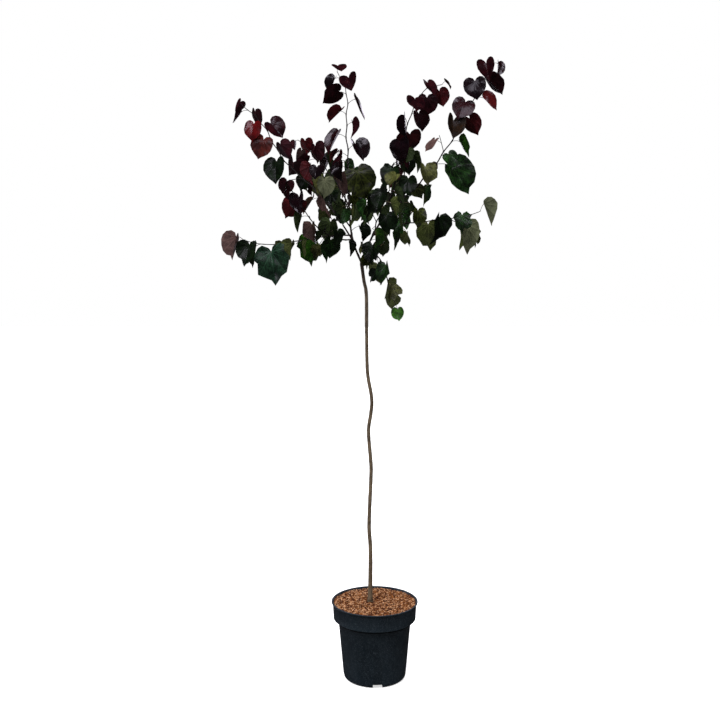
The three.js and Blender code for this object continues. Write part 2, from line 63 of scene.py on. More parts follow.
# A potted redbud: a bark-covered stem and boughs, foliage that grows on from them by a seeded
# rule, and a nursery pot filled with bark mulch. Sizes are in millimetres until a mesh is made,
# and angles in degrees. The camera, the lights and the shader patterns are in metres.


# ---- driving sizes

POT = Facts(
    height=272, foot_radius=100, corner_radius=13, shoulder_radius=131, shoulder_height=194,
    collar_radius=149, collar_height=212, collar_lean=3.5, lip=3.5, rim_radius=157,
    rim_thickness=4.5, wall=3, floor=17, sides=128, bevel=0.4,
    notches=4, notch_turn=5, notch_width=35, notch_height=14, notch_depth=34)
SOIL = Facts(edge=266, crown=269, under_chips=2.6, bump=1.6, bump_width=16, bump_seed=4.2,
             sides=96, rings=22, ring_width=6.4, clear=0.6, skirt=4)

# Each bend of the stem is a height and how far the stem stands off the pot's axis.
TRUNK = Facts(
    foot=(-16, 0, 269.3), head=(-48, 0, 1503),
    bends=[(455, -15), (545, -20), (700, -14), (765, -13), (885, -22), (955, -13),
           (1010, -11), (1105, -26), (1250, -29), (1385, -30), (1435, -39)],
    foot_radius=7.3, head_radius=6, butt=1.6, butt_height=130, flare=2, flare_height=14,
    knuckle=0.9, knuckle_below=8, knuckle_length=14, head_cap=4, cap_size=0.62)


def new_limb(name, heading, length, pitches, seed, **own):
    """A limb: its own sizes, and the usual ones where it has none of its own."""
    usual = dict(parent="leader", at=0, bough=60, thick=2.6, leaves=8, size=85, tip_size=0.7,
                 large={}, first=1, roll=30, hang=0.85, twigs=[1, 3], twig=75, young=0.25)
    own.update(name=name, heading=heading, length=length, pitches=pitches, seed=seed)
    return Facts(**{**usual, **own})


# Limbs in growing order. `at` is the distance along the parent where a limb starts, and a
# limb with no parent starts at the trunk's head. It runs in one upright plane at `heading`,
# and `pitches` are its angles over the level, evenly spaced along it. `thick` is the radius
# of its foot. The first `bough` millimetres are bare, and the rest is the stem of its foliage.
# A leaf's size is the length of its blade from the petiole's joint to the tip. `tip_size` is
# what is left of it at the limb's tip, and `large` gives single leaves a size of their own, by
# their place along the stem. `first` is the side of the first leaf, `roll` turns the two ranks
# of leaves about the stem, and `hang` is how far the blades droop. `twigs` are the places
# where a side twig, `twig` long, stands in for a leaf. `young` is the share of the stem, from
# its tip, whose leaves are still wine red.
LIMBS = [
    new_limb("leader", 160, 720, [60, 85, 90, 85, 95, 50], 51, parent=None, bough=255, thick=3.9,
             leaves=12, size=82, tip_size=0.8, large={1: 105}, roll=90, hang=0.7, twigs=[],
             young=0.85),
    new_limb("left_high", -170, 640, [60, 50, 40, 65, 30], 42, at=80, bough=80, thick=3.0,
             leaves=14, size=76, roll=75, hang=0.7, twigs=[1, 4], twig=80, young=0.75),
    new_limb("left_low", -160, 408, [0, -10, -10, 20], 113, at=105, thick=2.7, size=90,
             large={1: 105, 4: 120, 7: 85}, roll=15, hang=0.9, twigs=[2], twig=80, young=0.1),
    new_limb("left_mid", -135, 380, [-10, 20, 50, 45], 4, at=90, size=82, first=-1, young=0.5),
    new_limb("left_inner", 140, 380, [60, 50, 40, 40], 5, at=210, leaves=9, size=82, roll=45,
             hang=0.8, twigs=[2], young=0.5),
    new_limb("right_tall", 15, 765, [70, 60, 70, 80, 75, 65, 0], 6, parent=None, bough=225,
             thick=3.9, leaves=13, size=80, tip_size=0.75, first=-1, roll=60, hang=0.75, twig=85,
             young=0.75),
    new_limb("right_far", -10, 715, [45, 45, 55, 65, 60], 57, parent="right_tall", at=150,
             bough=70, thick=3.2, leaves=15, size=82, tip_size=0.8, large={4: 115}, roll=60,
             hang=0.8, twigs=[1, 5], twig=90, young=0.6),
    new_limb("right_low", -20, 410, [30, 5, 5, 15], 8, parent="right_tall", at=105, thick=2.7,
             size=90, tip_size=0.8, large={4: 115, 7: 80}, hang=0.9, twigs=[1, 4], twig=80, young=0),
    new_limb("hanging", -50, 310, [70, -40, -75, -50], 9, parent=None, bough=50, thick=2.4,
             size=72, tip_size=0.8, first=-1, roll=60, hang=0.9, twigs=[], young=0),
    new_limb("front", -80, 380, [25, 25, 25, 20], 10, parent="right_tall", at=90, size=84,
             young=0.15),
    new_limb("left_front", -110, 380, [20, 30, 30, 30], 11, at=135, first=-1),
    new_limb("back_right", 75, 400, [30, 40, 40, 40], 12, parent="right_tall", at=210, thick=2.7,
             leaves=9, first=-1, twigs=[1, 4], twig=80),
    new_limb("back_left", 100, 440, [45, 40, 45, 45], 13, at=150, thick=2.7, leaves=9, first=-1,
             twigs=[1, 4], twig=80),
]

BOUGH = Facts(collar_swell=1.25, collar_length=12)
STEM = Facts(tip_radius=1.2, zigzag=3.2, bare=12, end=2, closing=0.5, turn=25)
TWIG = Facts(spans=4, foot_radius=1.5, tip_radius=1.1, ahead=0.55, aside=0.85, rise=0.15,
             reach=(0.8, 1.1), sag=0.12, leaves=3, leaf_aside=0.9, leaf_out=0.3,
             leaf_size=0.95, leaf_shrink=0.12)
PETIOLE = Facts(reach=(0.32, 0.5), ahead=0.6, aside=0.8, bend=0.55, droop=0.35)
LEAF = Facts(half_outline=[(-0.15, 0.27), (0.05, 0.57), (0.42, 0.6), (0.75, 0.33), (1, 0)],
             largest_fold=50, curl=(-0.1, 0.28), cupping=0.6, facing=(0.8, 0.6), turn=80,
             hang_spread=0.25, sway=0.2, sizes=(0.78, 1.08), shrink_from=0.55,
             shrink_power=1.3, end_size=0.7,
             tested=(-0.12, -0.02, 0.1, 0.22, 0.34, 0.46, 0.58, 0.7, 0.82),
             tested_tip=[(0.91, -0.08), (0.91, 0.08), (0.91, 0), (1, 0)])
STEP = 15
LEAF_TRIES = 14
# The least gaps: between leaves of one mass and of two, and from a limb, a twig or a stalk.
SPACE = Facts(same=7, other=10, limb=7.5, limb_share=0.15, twig=14, petiole=0.1)

# Short shoots with small leaves: on the stems between the main leaves, and on the bare boughs
# round the fork, where each has its bough, its place along it, its side and its leaf's size.
SPUR = Facts(seed=500, chance=0.85, reach=(18, 42), leaves=2, size=(0.5, 0.8), gaps=(4.5, 6),
             smallest=26, leaf_shrink=0.2, end=0.42, turn=70, spans=3)
FORK = Facts(
    seed=9000, rolls=(35, 85, 135), reaches=(16, 19, 22, 25),
    shoots=[("leader", 70, 1, 52), ("leader", 120, -1, 60), ("leader", 165, 1, 66),
            ("leader", 215, -1, 70), ("right_tall", 45, -1, 46), ("right_tall", 85, 1, 56),
            ("right_tall", 130, -1, 64), ("right_tall", 185, 1, 72), ("hanging", 24, 1, 44)])


# ---- the rule the crown grows by

class Draw:
    """A seeded run of numbers from 0 to 1, the same on every machine.

    The large numbers are usual ones for a plain congruential generator."""

    def __init__(self, seed):
        self.state = (seed * 747796405 + 2891336453) % 2 ** 32
        for _ in range(3):
            self.next()

    def next(self):
        self.state = (self.state * 1664525 + 1013904223) % 2 ** 32
        return self.state / 2 ** 32

    def between(self, low, high):
        return low + (high - low) * self.next()

    def spread(self, width):
        return self.between(-width, width)

    def turn(self):
        return self.next() * 2 * math.pi


def unit(v):
    return v / math.sqrt(v @ v)


def mix(a, b, share):
    return a + (b - a) * share


def turned(v, axis, degrees):
    """Turns a vector, or each row of an array of them, about an axis."""
    c, s = math.cos(math.radians(degrees)), math.sin(math.radians(degrees))
    return v * c + np.cross(axis, v) * s + np.multiply.outer(v @ axis, axis) * (1 - c)


def limb_line(start, limb):
    spans = math.ceil(limb.length / STEP)
    step = limb.length / spans
    heading = math.radians(limb.heading)
    points = [np.array(start, float)]
    for i in range(spans):
        place = (i + 0.5) / spans * (len(limb.pitches) - 1)
        below = min(int(place), len(limb.pitches) - 2)
        pitch = math.radians(mix(limb.pitches[below], limb.pitches[below + 1], place - below))
        level = math.cos(pitch)
        way = np.array([level * math.cos(heading), level * math.sin(heading), math.sin(pitch)])
        points.append(points[-1] + step * way)
    return np.array(points), step


def place_on(line, distance):
    """The point at a distance along a limb's line, and the way the line runs there."""
    points, step = line
    place = min(max(distance / step, 0), len(points) - 1 - 1e-9)
    below = int(place)
    point = mix(points[below], points[below + 1], place - below)
    return point, unit(points[below + 1] - points[below])


def limb_radius(limb, distance):
    swell = 1 + (BOUGH.collar_swell - 1) * math.exp(-distance / BOUGH.collar_length)
    return mix(limb.thick, STEM.tip_radius, distance / limb.length) * swell


def grow_lines():
    lines = {}
    for limb in LIMBS:
        start = place_on(lines[limb.parent], limb.at)[0] if limb.parent else TRUNK.head
        lines[limb.name] = limb_line(start, limb)
    return lines


def new_leaf(draw, node, along, side, size, limb):
    reach = size * draw.between(*PETIOLE.reach)
    out = unit(along * PETIOLE.ahead + side * PETIOLE.aside)
    bend = node + out * (reach * PETIOLE.bend)
    base = bend + unit(out - UP * PETIOLE.droop) * (reach * (1 - PETIOLE.bend))
    level = np.array([out[0], out[1], 0.0])
    level = unit(level) if level @ level > 1e-4 else np.array([1.0, 0, 0])
    hang = limb.hang + draw.spread(LEAF.hang_spread)
    sway = np.array([draw.spread(LEAF.sway) for _ in range(3)])
    axis = unit(level * (1 - hang) - UP * hang + sway)
    outward, upward = LEAF.facing
    facing = level * outward + UP * upward
    facing = unit(facing - axis * (facing @ axis))
    normal = turned(facing, axis, draw.spread(LEAF.turn))
    fold = math.radians(draw.between(0, LEAF.largest_fold))
    curl = draw.between(*LEAF.curl)
    return Facts(node=node, bend=bend, base=base, axis=axis, normal=normal,
                 side=np.cross(axis, normal), fold=fold, curl=curl, size=size)


def laid_out(leaf, u, v, lift):
    """Points of a blade in space, from their places along and across it and their lift."""
    across = v * math.cos(leaf.fold)
    return leaf.base + leaf.size * (
        np.outer(u, leaf.axis) + np.outer(across, leaf.side) + np.outer(lift, leaf.normal))


def leaf_surface(leaf, grid):
    u, v = grid.T
    lift = np.abs(v) * math.sin(leaf.fold) - leaf.curl * (u * u + LEAF.cupping * v * v)
    return laid_out(leaf, u, v, lift)


def blade_grid():
    """Places spread over a blade, at which it is tested for room."""
    grid = []
    for u in LEAF.tested:
        half = np.interp(u, *zip(*LEAF.half_outline))
        grid += [(u, k / 4 * half) for k in range(-4, 5) if u > 0 or k]
    return np.array(grid + LEAF.tested_tip)


BLADE_GRID = blade_grid()


def with_middles(points):
    return np.concatenate([points, (points[1:] + points[:-1]) / 2])


def ball(points):
    """The middle of some points, and how far the furthest one lies from it."""
    centre = points.mean(0)
    return centre, math.sqrt(((points - centre) ** 2).sum(1).max())


def closer(first, second, gap):
    return ((first[None] - second[:, None]) ** 2).sum(2).min() < gap ** 2


class Space:
    """What each mass has taken, so that no leaf or twig runs into a limb or another leaf."""

    def __init__(self, lines):
        trunk = np.array([(x, 0, height) for height, x in TRUNK.bends] + [TRUNK.head], float)
        stem = []
        for low, high in zip(trunk, trunk[1:]):
            spans = math.ceil((high[2] - low[2]) / (STEP / 2))
            stem += [mix(low, high, k / spans) for k in range(spans)]
        self.limbs = np.concatenate([with_middles(points) for points, _ in lines.values()] + [stem])
        self.taken = []

    def near_limb(self, points, gap):
        centre, radius = ball(points)
        close = self.limbs[((self.limbs - centre) ** 2).sum(1) < (radius + gap) ** 2]
        return len(close) > 0 and closer(points, close, gap)

    def near_others(self, points, owner, same=SPACE.same, other=SPACE.other):
        centre, radius = ball(points)
        for theirs, their_owner, middle, reach in self.taken:
            if ((middle - centre) ** 2).sum() > (radius + reach + other) ** 2:
                continue
            if closer(points, theirs, same if owner == their_owner else other):
                return True
        return False

    def take(self, points, owner):
        self.taken.append((points, owner, *ball(points)))


def leaf_nodes(limb):
    """How far along its limb each leaf stands. The gaps close up towards the tip."""
    first = limb.bough + STEM.bare
    span = limb.length - first - STEM.end
    count = limb.leaves - 1
    gaps = np.array([1 - STEM.closing * i / count for i in range(count)])
    return [first] + list(first + np.cumsum(gaps / gaps.sum()) * span)


def side_growth(foot, along, side, reach, spans):
    """The sagging line of a twig or a short shoot, and the way it sets out."""
    out = unit(along * TWIG.ahead + side * TWIG.aside + UP * TWIG.rise)
    shares = np.arange(spans + 1) / spans
    return foot + np.outer(shares * reach, out) - np.outer(TWIG.sag * reach * shares ** 2, UP), out


def leaf_way(out, k):
    """Leaves on a twig or a shoot stand to its two sides by turns."""
    return unit(np.cross(out, UP)) * (TWIG.leaf_aside if k % 2 else -TWIG.leaf_aside)


def grow_twig(foot, along, side, reach, size):
    points, out = side_growth(foot, along, side, reach, TWIG.spans)
    origins = []
    for k in range(1, TWIG.leaves + 1):
        way = leaf_way(out, k)
        if k == TWIG.leaves:
            way = way + side * TWIG.leaf_out
        origins.append((points[k + 1], out, way, size * (TWIG.leaf_size - TWIG.leaf_shrink * k)))
    return points, origins


def rank(limb, along, roll, hand):
    """The way out of a limb for one of its two ranks of leaves."""
    heading, roll = math.radians(limb.heading), math.radians(roll)
    level = np.array([-math.sin(heading), math.cos(heading), 0.0])
    return (level * math.cos(roll) + np.cross(level, along) * math.sin(roll)) * hand


def fit_leaf(seed, origin, limb, space, gaps=()):
    """Turns a leaf about until it finds room, and takes that room, or gives up."""
    foot, along, side, size = origin
    turns = Draw(seed)
    for _ in range(LEAF_TRIES):
        leaf = new_leaf(turns, foot, along, unit(side), size, limb)
        blade = leaf_surface(leaf, BLADE_GRID)
        half = (leaf.node + leaf.bend) / 2
        if closer(blade, np.array([half, leaf.bend]), SPACE.petiole * size):
            continue
        if space.near_limb(blade, min(SPACE.limb, SPACE.limb_share * size)):
            continue
        points = np.concatenate([blade, [half, leaf.bend, (leaf.bend + leaf.base) / 2]])
        if space.near_others(points, limb.name, *gaps):
            continue
        space.take(points, limb.name)
        leaf.seed = seed
        return leaf
    return None


def grow_mass(limb, line, space):
    draw = Draw(limb.seed)
    nodes = leaf_nodes(limb)
    grown = Facts(joints=[], twigs=[], shoots=[], leaves=[])
    hand = limb.first
    for i, distance in enumerate(nodes):
        share = (distance - limb.bough) / (limb.length - limb.bough)
        point, along = place_on(line, distance)
        offset = STEM.zigzag * (1 - STEM.closing * share)
        point = point + rank(limb, along, limb.roll, hand) * offset
        side = rank(limb, along, limb.roll + draw.spread(STEM.turn), hand)
        grown.joints.append(Facts(point=point, along=along, distance=distance, share=share, hand=hand))
        hand = -hand
        near_tip = max(0, (share - LEAF.shrink_from) / (1 - LEAF.shrink_from))
        shrink = 1 - (1 - limb.tip_size) * near_tip ** LEAF.shrink_power
        last = LEAF.end_size if i == len(nodes) - 1 else 1
        size = limb.size * shrink * last * draw.between(*LEAF.sizes)
        size = limb.large.get(i, size)
        seed = int(draw.next() * 1e6)
        origins = [(point, along, side, size)]
        if i in limb.twigs:
            reach = limb.twig * draw.between(*TWIG.reach)
            twig, twig_origins = grow_twig(point, along, side, reach, size)
            tested = with_middles(twig[1:])
            if not space.near_limb(tested, SPACE.twig) and not space.near_others(tested, limb.name):
                grown.twigs.append(twig)
                space.take(tested, limb.name)
                origins = twig_origins
        for k, origin in enumerate(origins):
            leaf = fit_leaf(seed + k, origin, limb, space)
            if leaf:
                leaf.share, leaf.first = share, k == 0
                grown.leaves.append(leaf)
    return grown


def grow_spurs(limb, grown, space):
    """Short shoots with one or two small leaves, between the leaves that stand already."""
    draw = Draw(SPUR.seed + limb.seed)
    for low, high in zip(grown.joints, grown.joints[1:]):
        wanted = draw.next() < SPUR.chance
        reach = draw.between(*SPUR.reach)
        count = 1 + int(draw.next() * SPUR.leaves)
        size = limb.size * draw.between(*SPUR.size)
        turn = draw.spread(SPUR.turn)
        seed = int(draw.next() * 1e6)
        share = (low.share + high.share) / 2
        if wanted and share <= SPUR.end:
            side = rank(limb, low.along, limb.roll + 90 + turn, low.hand)
            start = ((low.point + high.point) / 2, low.along, side, reach)
            add_shoot(limb, grown, space, start, [size, share, seed], count)


def add_shoot(limb, grown, space, start, leaf_facts, count):
    """Adds a short shoot and its leaves, if there is room for it and for one of them."""
    size, share, seed = leaf_facts
    side = start[2]
    shoot, out = side_growth(*start, SPUR.spans)
    tested = with_middles(shoot[1:])
    if space.near_limb(tested[1:], SPUR.gaps[0]) or space.near_others(tested, limb.name, *SPUR.gaps):
        return
    leaves = []
    for k in range(count):
        way = leaf_way(out, k) + side * TWIG.leaf_out
        own_size = max(SPUR.smallest, size * (1 - SPUR.leaf_shrink * k))
        leaf = fit_leaf(seed + k, (shoot[-1 - k], out, way, own_size), limb, space, SPUR.gaps)
        if leaf:
            leaf.share, leaf.first = share, False
            leaves.append(leaf)
    if leaves:
        space.take(tested, limb.name)
        grown.shoots.append(shoot)
        grown.leaves += leaves


def grow_crown():
    lines = grow_lines()
    space = Space(lines)
    crown = {limb.name: grow_mass(limb, lines[limb.name], space) for limb in LIMBS}
    for limb in LIMBS:
        grow_spurs(limb, crown[limb.name], space)
    limbs = {limb.name: limb for limb in LIMBS}
    for k, (name, distance, hand, size) in enumerate(FORK.shoots):
        foot, along = place_on(lines[name], distance)
        side = rank(limbs[name], along, FORK.rolls[k % len(FORK.rolls)], hand)
        start = (foot, along, side, FORK.reaches[k % len(FORK.reaches)])
        add_shoot(limbs[name], crown[name], space, start, [size, 0, FORK.seed + k], 1)
    return lines, crown


# ---- joined meshes from arrays

class Pile:
    """Gathers many small closed shapes, in millimetres, into one mesh object."""

    def __init__(self):
        self.points, self.faces, self.slots, self.tones = [], [], [], []
        self.names, self.maps = [], {}
        self.count = 0

    def add(self, points, faces, finish, tone=0.5, maps=None):
        """Adds a shape. `finish` names the finish of all its faces, or is a list with one for each."""
        each = [finish] * len(faces) if isinstance(finish, str) else finish
        self.names += [name for name in dict.fromkeys(each) if name not in self.names]
        self.slots += [self.names.index(name) for name in each]
        self.faces += [tuple(i + self.count for i in face) for face in faces]
        self.points.append(points)
        self.tones += [tone] * len(points)
        for name, corners in (maps or {}).items():
            self.maps.setdefault(name, []).append(corners)
        self.count += len(points)

    def finish(self, name, node, slot, smooth_below):
        mesh = bpy.data.meshes.new(name)
        mesh.from_pydata((np.concatenate(self.points) * MM).tolist(), [], self.faces)
        mesh.attributes.new("tone", "FLOAT", "POINT").data.foreach_set("value", self.tones)
        for map_name, corners in self.maps.items():
            layer = mesh.uv_layers.new(name=map_name)
            layer.data.foreach_set("uv", np.concatenate(corners).ravel())
        piece = bpy.data.objects.new(name, mesh)
        bpy.context.collection.objects.link(piece)
        settle(piece, node, self.names, smooth_below)
        mesh.polygons.foreach_set("material_index", self.slots)


def take(piece):
    """Selects one object alone and makes it the active one."""
    bpy.ops.object.select_all(action="DESELECT")
    piece.select_set(True)
    bpy.context.view_layer.objects.active = piece


def settle(piece, node, finishes, smooth_below):
    """Smooths a finished shape, gives it its finishes, fixes it to the body and hides the CAD part it stands
    in for.
    """
    take(piece)
    bpy.ops.object.shade_smooth_by_angle(angle=math.radians(smooth_below))
    for name in finishes:
        piece.data.materials.append(FINISHES[name])
    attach(piece, BODY)
    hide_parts(node)


def pick_none(kind):
    """Deselects the active mesh, ready to pick its edges or faces in code."""
    bpy.ops.object.mode_set(mode="EDIT")
    bpy.ops.mesh.select_all(action="DESELECT")
    bpy.ops.mesh.select_mode(type=kind)
    bpy.ops.object.mode_set(mode="OBJECT")


def face_outwards():
    bpy.ops.object.mode_set(mode="EDIT")
    bpy.ops.mesh.select_all(action="SELECT")
    bpy.ops.mesh.normals_make_consistent(inside=False)
    bpy.ops.object.mode_set(mode="OBJECT")


def ring_frames(points):
    """An upright frame at each point of a line, carried along it without twisting."""
    ahead = np.concatenate([points[1:], points[-1:]]) - np.concatenate([points[:1], points[:-1]])
    along = ahead / np.linalg.norm(ahead, axis=1)[:, None]
    across = UP if abs(along[0][2]) < 0.9 else np.array([1.0, 0, 0])
    frames = []
    for way in along:
        across = unit(across - way * (across @ way))
        frames.append((across, np.cross(way, across)))
    return frames


def tube(points, radii, sides):
    """A closed bar along a line: rings of points, quads between them and a cap at each end."""
    turns = np.arange(sides) * 2 * math.pi / sides
    rings = []
    for point, radius, (across, third) in zip(points, radii, ring_frames(points)):
        rings.append(point + radius * (np.outer(np.cos(turns), across) + np.outer(np.sin(turns), third)))
    last = (len(points) - 1) * sides
    faces = [tuple(range(sides - 1, -1, -1))]
    for low in range(0, last, sides):
        high = low + sides
        faces += [(low + k, low + (k + 1) % sides, high + (k + 1) % sides, high + k) for k in range(sides)]
    faces.append(tuple(range(last, last + sides)))
    return np.concatenate(rings), faces


def smooth_line(points, spans):
    """A curve through the points, each span cut into equal steps."""
    points = np.asarray(points)
    padded = np.concatenate([[2 * points[0] - points[1]], points, [2 * points[-1] - points[-2]]])
    line = []
    for before, low, high, after in zip(padded, padded[1:], padded[2:], padded[3:]):
        for t in np.arange(spans) / spans:
            line.append(0.5 * (2 * low + (high - before) * t
                               + (2 * before - 5 * low + 4 * high - after) * t ** 2
                               + (3 * low - before - 3 * high + after) * t ** 3))
    return np.array(line + [points[-1]])


def walked(line):
    """How far along a line each of its points lies."""
    return np.concatenate([[0], np.cumsum(np.linalg.norm(np.diff(line, axis=0), axis=1))])


# ---- leaves

# How far the margin lies from the petiole's joint, by angle off the midrib, for a unit leaf.
MARGIN = {0: 1.0, 5: 0.925, 12: 0.868, 22: 0.835, 35: 0.8, 50: 0.745, 65: 0.675, 80: 0.615,
          95: 0.56, 110: 0.49, 125: 0.4, 140: 0.285, 155: 0.165, 170: 0.06, 180: 0.02}
# The angles at which half a blade has points: at the margin, and on one ring inside it.
HALF_RAYS = [0, 7, 19, 35, 53, 72, 91, 110, 130, 152, 180]
BLADE = Facts(ring=0.56, half_thick=0.42, soft_fold=0.04, wave=0.075, wave_young=0.5,
              waves_round=(3, 5), second_wave=0.6, tip_curl=1.1, tip_from=0.62, tip_lift=0.3,
              ragged=0.12, ragged_young=0.15, bite=0.88, lopsided=0.06)
# Each side of a blade has its own square in the bake map: how a unit leaf is laid in it.
BAKE = Facts(scale=(0.8, 0.7), middle=(0.5, 0.26), fill=0.92, margin=0.04)

RAYS = np.radians(HALF_RAYS + [-angle for angle in HALF_RAYS[-2:0:-1]])
REACH = np.interp(np.abs(np.degrees(RAYS)), list(MARGIN), list(MARGIN.values()))


def blade_faces():
    """Faces of the upper side, then of the underside. The two share the margin's points."""
    rays = len(RAYS)
    edge = 1 + rays
    after = [(j + 1) % rays for j in range(rays)]
    sides = []
    for centre in (0, edge + rays):
        ring = centre + 1
        fan = [(centre, ring + n, ring + j) for j, n in enumerate(after)]
        sides.append(fan + [(ring + j, ring + n, edge + n, edge + j) for j, n in enumerate(after)])
    top, under = sides
    return top, [face[:1] + face[:0:-1] for face in under]


BLADE_TOP, BLADE_UNDER = blade_faces()


def blade_points(leaf, age, draw):
    """The blade's own places (across, along) and its points in space, age 0 young to 1 old."""
    phase = [draw.turn() for _ in range(4)]
    bites = np.array([draw.next() for _ in RAYS])
    ragged = BLADE.ragged * (BLADE.ragged_young + age)
    margin = REACH * (1 - ragged * bites - ragged * (bites > BLADE.bite))
    margin[0] = REACH[0]
    margin = margin * (1 + BLADE.lopsided * np.sin(RAYS + phase[3]))
    shares = np.concatenate([[0], np.full(len(RAYS), BLADE.ring), np.ones(len(RAYS))])
    angles = np.concatenate([[0], RAYS, RAYS])
    reach = np.concatenate([[0], margin, margin]) * shares
    u, v = reach * np.cos(angles), reach * np.sin(angles)

    lift = (np.sqrt(v * v + BLADE.soft_fold ** 2) - BLADE.soft_fold) * math.sin(leaf.fold)
    lift -= leaf.curl * (u * u + LEAF.cupping * v * v)
    first, second = (np.sin(count * angles + start) for count, start in zip(BLADE.waves_round, phase))
    wave = BLADE.wave * (BLADE.wave_young + age)
    lift += wave * shares ** 2 * (first + BLADE.second_wave * second) * reach
    lift -= BLADE.tip_curl * (draw.next() - BLADE.tip_lift) * np.maximum(0, u - BLADE.tip_from) ** 2
    surface = laid_out(leaf, u, v, lift)
    thick = np.outer(BLADE.half_thick * (1 - shares ** 2), leaf.normal)
    inner = 1 + len(RAYS)
    places = np.stack([v, u], 1)
    points = np.concatenate([surface + thick, surface[:inner] - thick[:inner]])
    return np.concatenate([places, places[:inner]]), points


def add_leaf(pile, leaf, cell, cells, looks):
    """Adds a blade. `cell` is its place in the piece's bake map, two squares for each leaf."""
    draw = Draw(leaf.seed * 7 + 3)
    top, under, age = looks
    places, points = blade_points(leaf, age, draw)
    faces = BLADE_TOP + BLADE_UNDER
    own = np.array([places[i] for face in faces for i in face])
    offset = np.zeros_like(own)
    offset[:] = 2 * (cell % cells), cell // cells
    offset[sum(len(face) for face in BLADE_TOP):, 0] += 1
    baked = ((own * BAKE.scale + BAKE.middle) * BAKE.fill + BAKE.margin + offset) / (2 * cells)
    finishes = [top] * len(BLADE_TOP) + [under] * len(BLADE_UNDER)
    pile.add(points, faces, finishes, draw.next(), {"OFBake": baked, "leaf": own})


# The looks of a leaf: its upper side and its underside.
LOOKS = {
    "black": ("wine_black", "under_wine"), "dark": ("wine_dark", "under_wine"),
    "red": ("wine_red", "under_red"), "rose": ("wine_dark", "under_rose"),
    "rust": ("red_brown", "under_red"), "plum": ("plum", "under_mauve"),
    "bronze": ("bronze", "under_mauve"), "night": ("black_green", "under_green"),
    "green": ("deep_green", "under_green"), "blue": ("blue_green", "under_green"),
    "bright": ("bright_green", "under_olive"), "olive": ("olive", "under_olive"),
    "grey": ("black_green", "under_grey"), "sage": ("under_grey", "under_grey"),
    "lime": ("bright_green", "bright_green"), "moss": ("dark_olive", "under_olive"),
    "dusk": ("under_mauve", "under_grey"),
}
# The looks of the main leaves along each limb, one for each joint from its foot to its tip.
ALONG = {
    "leader": "night moss rose black rose black red dark black dark black dark",
    "left_high": "night green bronze sage dark black night dark rust dark red dark black dark",
    "left_low": "green lime bright olive blue blue night plum",
    "left_mid": "night night bronze night rust black dark dark",
    "left_inner": "night bronze olive night dark dark plum rust black",
    "right_tall": "green green night night black red black dark dark black dark red dark",
    "right_far": "green green green olive green dusk lime bronze red dark red black dark dark dark",
    "right_low": "green green bright night sage green green grey",
    "hanging": "night olive green olive olive olive bright lime",
    "front": "green green night green olive night green night",
    "left_front": "green night bronze night olive sage rust black",
    "back_right": "green night green night green black night dark dark",
    "back_left": "night green night olive green night green black dark",
}
# The other leaves, on twigs and short shoots, are dealt looks by their least youth.
DEALT = [(0.15, "black dark black plum dark rust"), (-0.1, "night bronze black green rust"),
         (-math.inf, "green night moss night bright olive")]


def youth(leaf, limb):
    """Over 0 where the limb's leaves are still wine red, and more the nearer they are to the tip."""
    return leaf.share - (1 - limb.young)


def leaf_looks(leaf, limb, joints):
    """The names of a leaf's two finishes, and its age from 0 for young to 1 for old."""
    young = youth(leaf, limb)
    if leaf.first:
        nearest = min(range(len(joints)), key=lambda j: abs(joints[j].share - leaf.share))
        name = ALONG[limb.name].split()[nearest]
    else:
        dealt = next(names for least, names in DEALT if young > least).split()
        name = dealt[int(Draw(leaf.seed * 13 + 5).next() * len(dealt))]
    return (*LOOKS[name], min(1.0, max(0.0, 0.5 - 2 * young)))


# ---- stems, twigs and petioles

WOOD = Facts(stem_sides=9, stalk_sides=7, stem_spans=6, twig_spans=4, shoot_spans=3,
             shoot_radii=(1.15, 0.75), node_swell=1.32, node_length=4.5, tip=0.6)
STALK = Facts(least=0.62, growth=0.0042, inset=0.02, spans=5, thick=0.95, foot=1.45,
              foot_length=0.06, joint=1.35, joint_at=0.68, joint_length=0.09, end=0.5)
BUD = Facts(length=4.2, half_width=0.85, swell=[0.7, 1.0, 0.95, 0.6, 0.08], sides=6, aside=0.8,
            lean=0.55)


def add_stem(pile, limb, line, grown):
    """The zigzag stem of a mass, a little swollen at each node."""
    start, _ = place_on(line, limb.bough)
    points = [start] + [joint.point for joint in grown.joints]
    places = [limb.bough] + [joint.distance for joint in grown.joints]
    curve = smooth_line(points, WOOD.stem_spans)
    distances = np.interp(np.arange(len(curve)) / WOOD.stem_spans, np.arange(len(points)), places)
    radii = []
    for distance in distances:
        nearest = min(abs(distance - place) for place in places[1:])
        swell = 1 + (WOOD.node_swell - 1) * math.exp(-(nearest / WOOD.node_length) ** 2)
        radii.append(limb_radius(limb, distance) * swell)
    radii[-1] *= WOOD.tip
    pile.add(*tube(curve, radii, WOOD.stem_sides), "shoot_dark")


def add_petiole(pile, leaf, limb):
    """A thin stalk, swollen at its foot and again where it joins the blade."""
    inset = leaf.base + leaf.axis * (STALK.inset * leaf.size)
    curve = smooth_line([leaf.node, leaf.bend, leaf.base, inset], STALK.spans)
    shares = np.linspace(0, 1, len(curve))
    foot = (STALK.foot - STALK.thick) * np.exp(-(shares / STALK.foot_length) ** 2)
    near_joint = (shares - STALK.joint_at) / STALK.joint_length
    joint = (STALK.joint - STALK.thick) * np.exp(-near_joint ** 2)
    radii = (STALK.least + STALK.growth * leaf.size) * (STALK.thick + foot + joint)
    radii[-1] *= STALK.end
    old = "shoot_green" if leaf.seed % 3 == 0 else "shoot_dark"
    finish = "shoot_wine" if youth(leaf, limb) > 0 else old
    pile.add(*tube(curve, radii, WOOD.stalk_sides), finish)


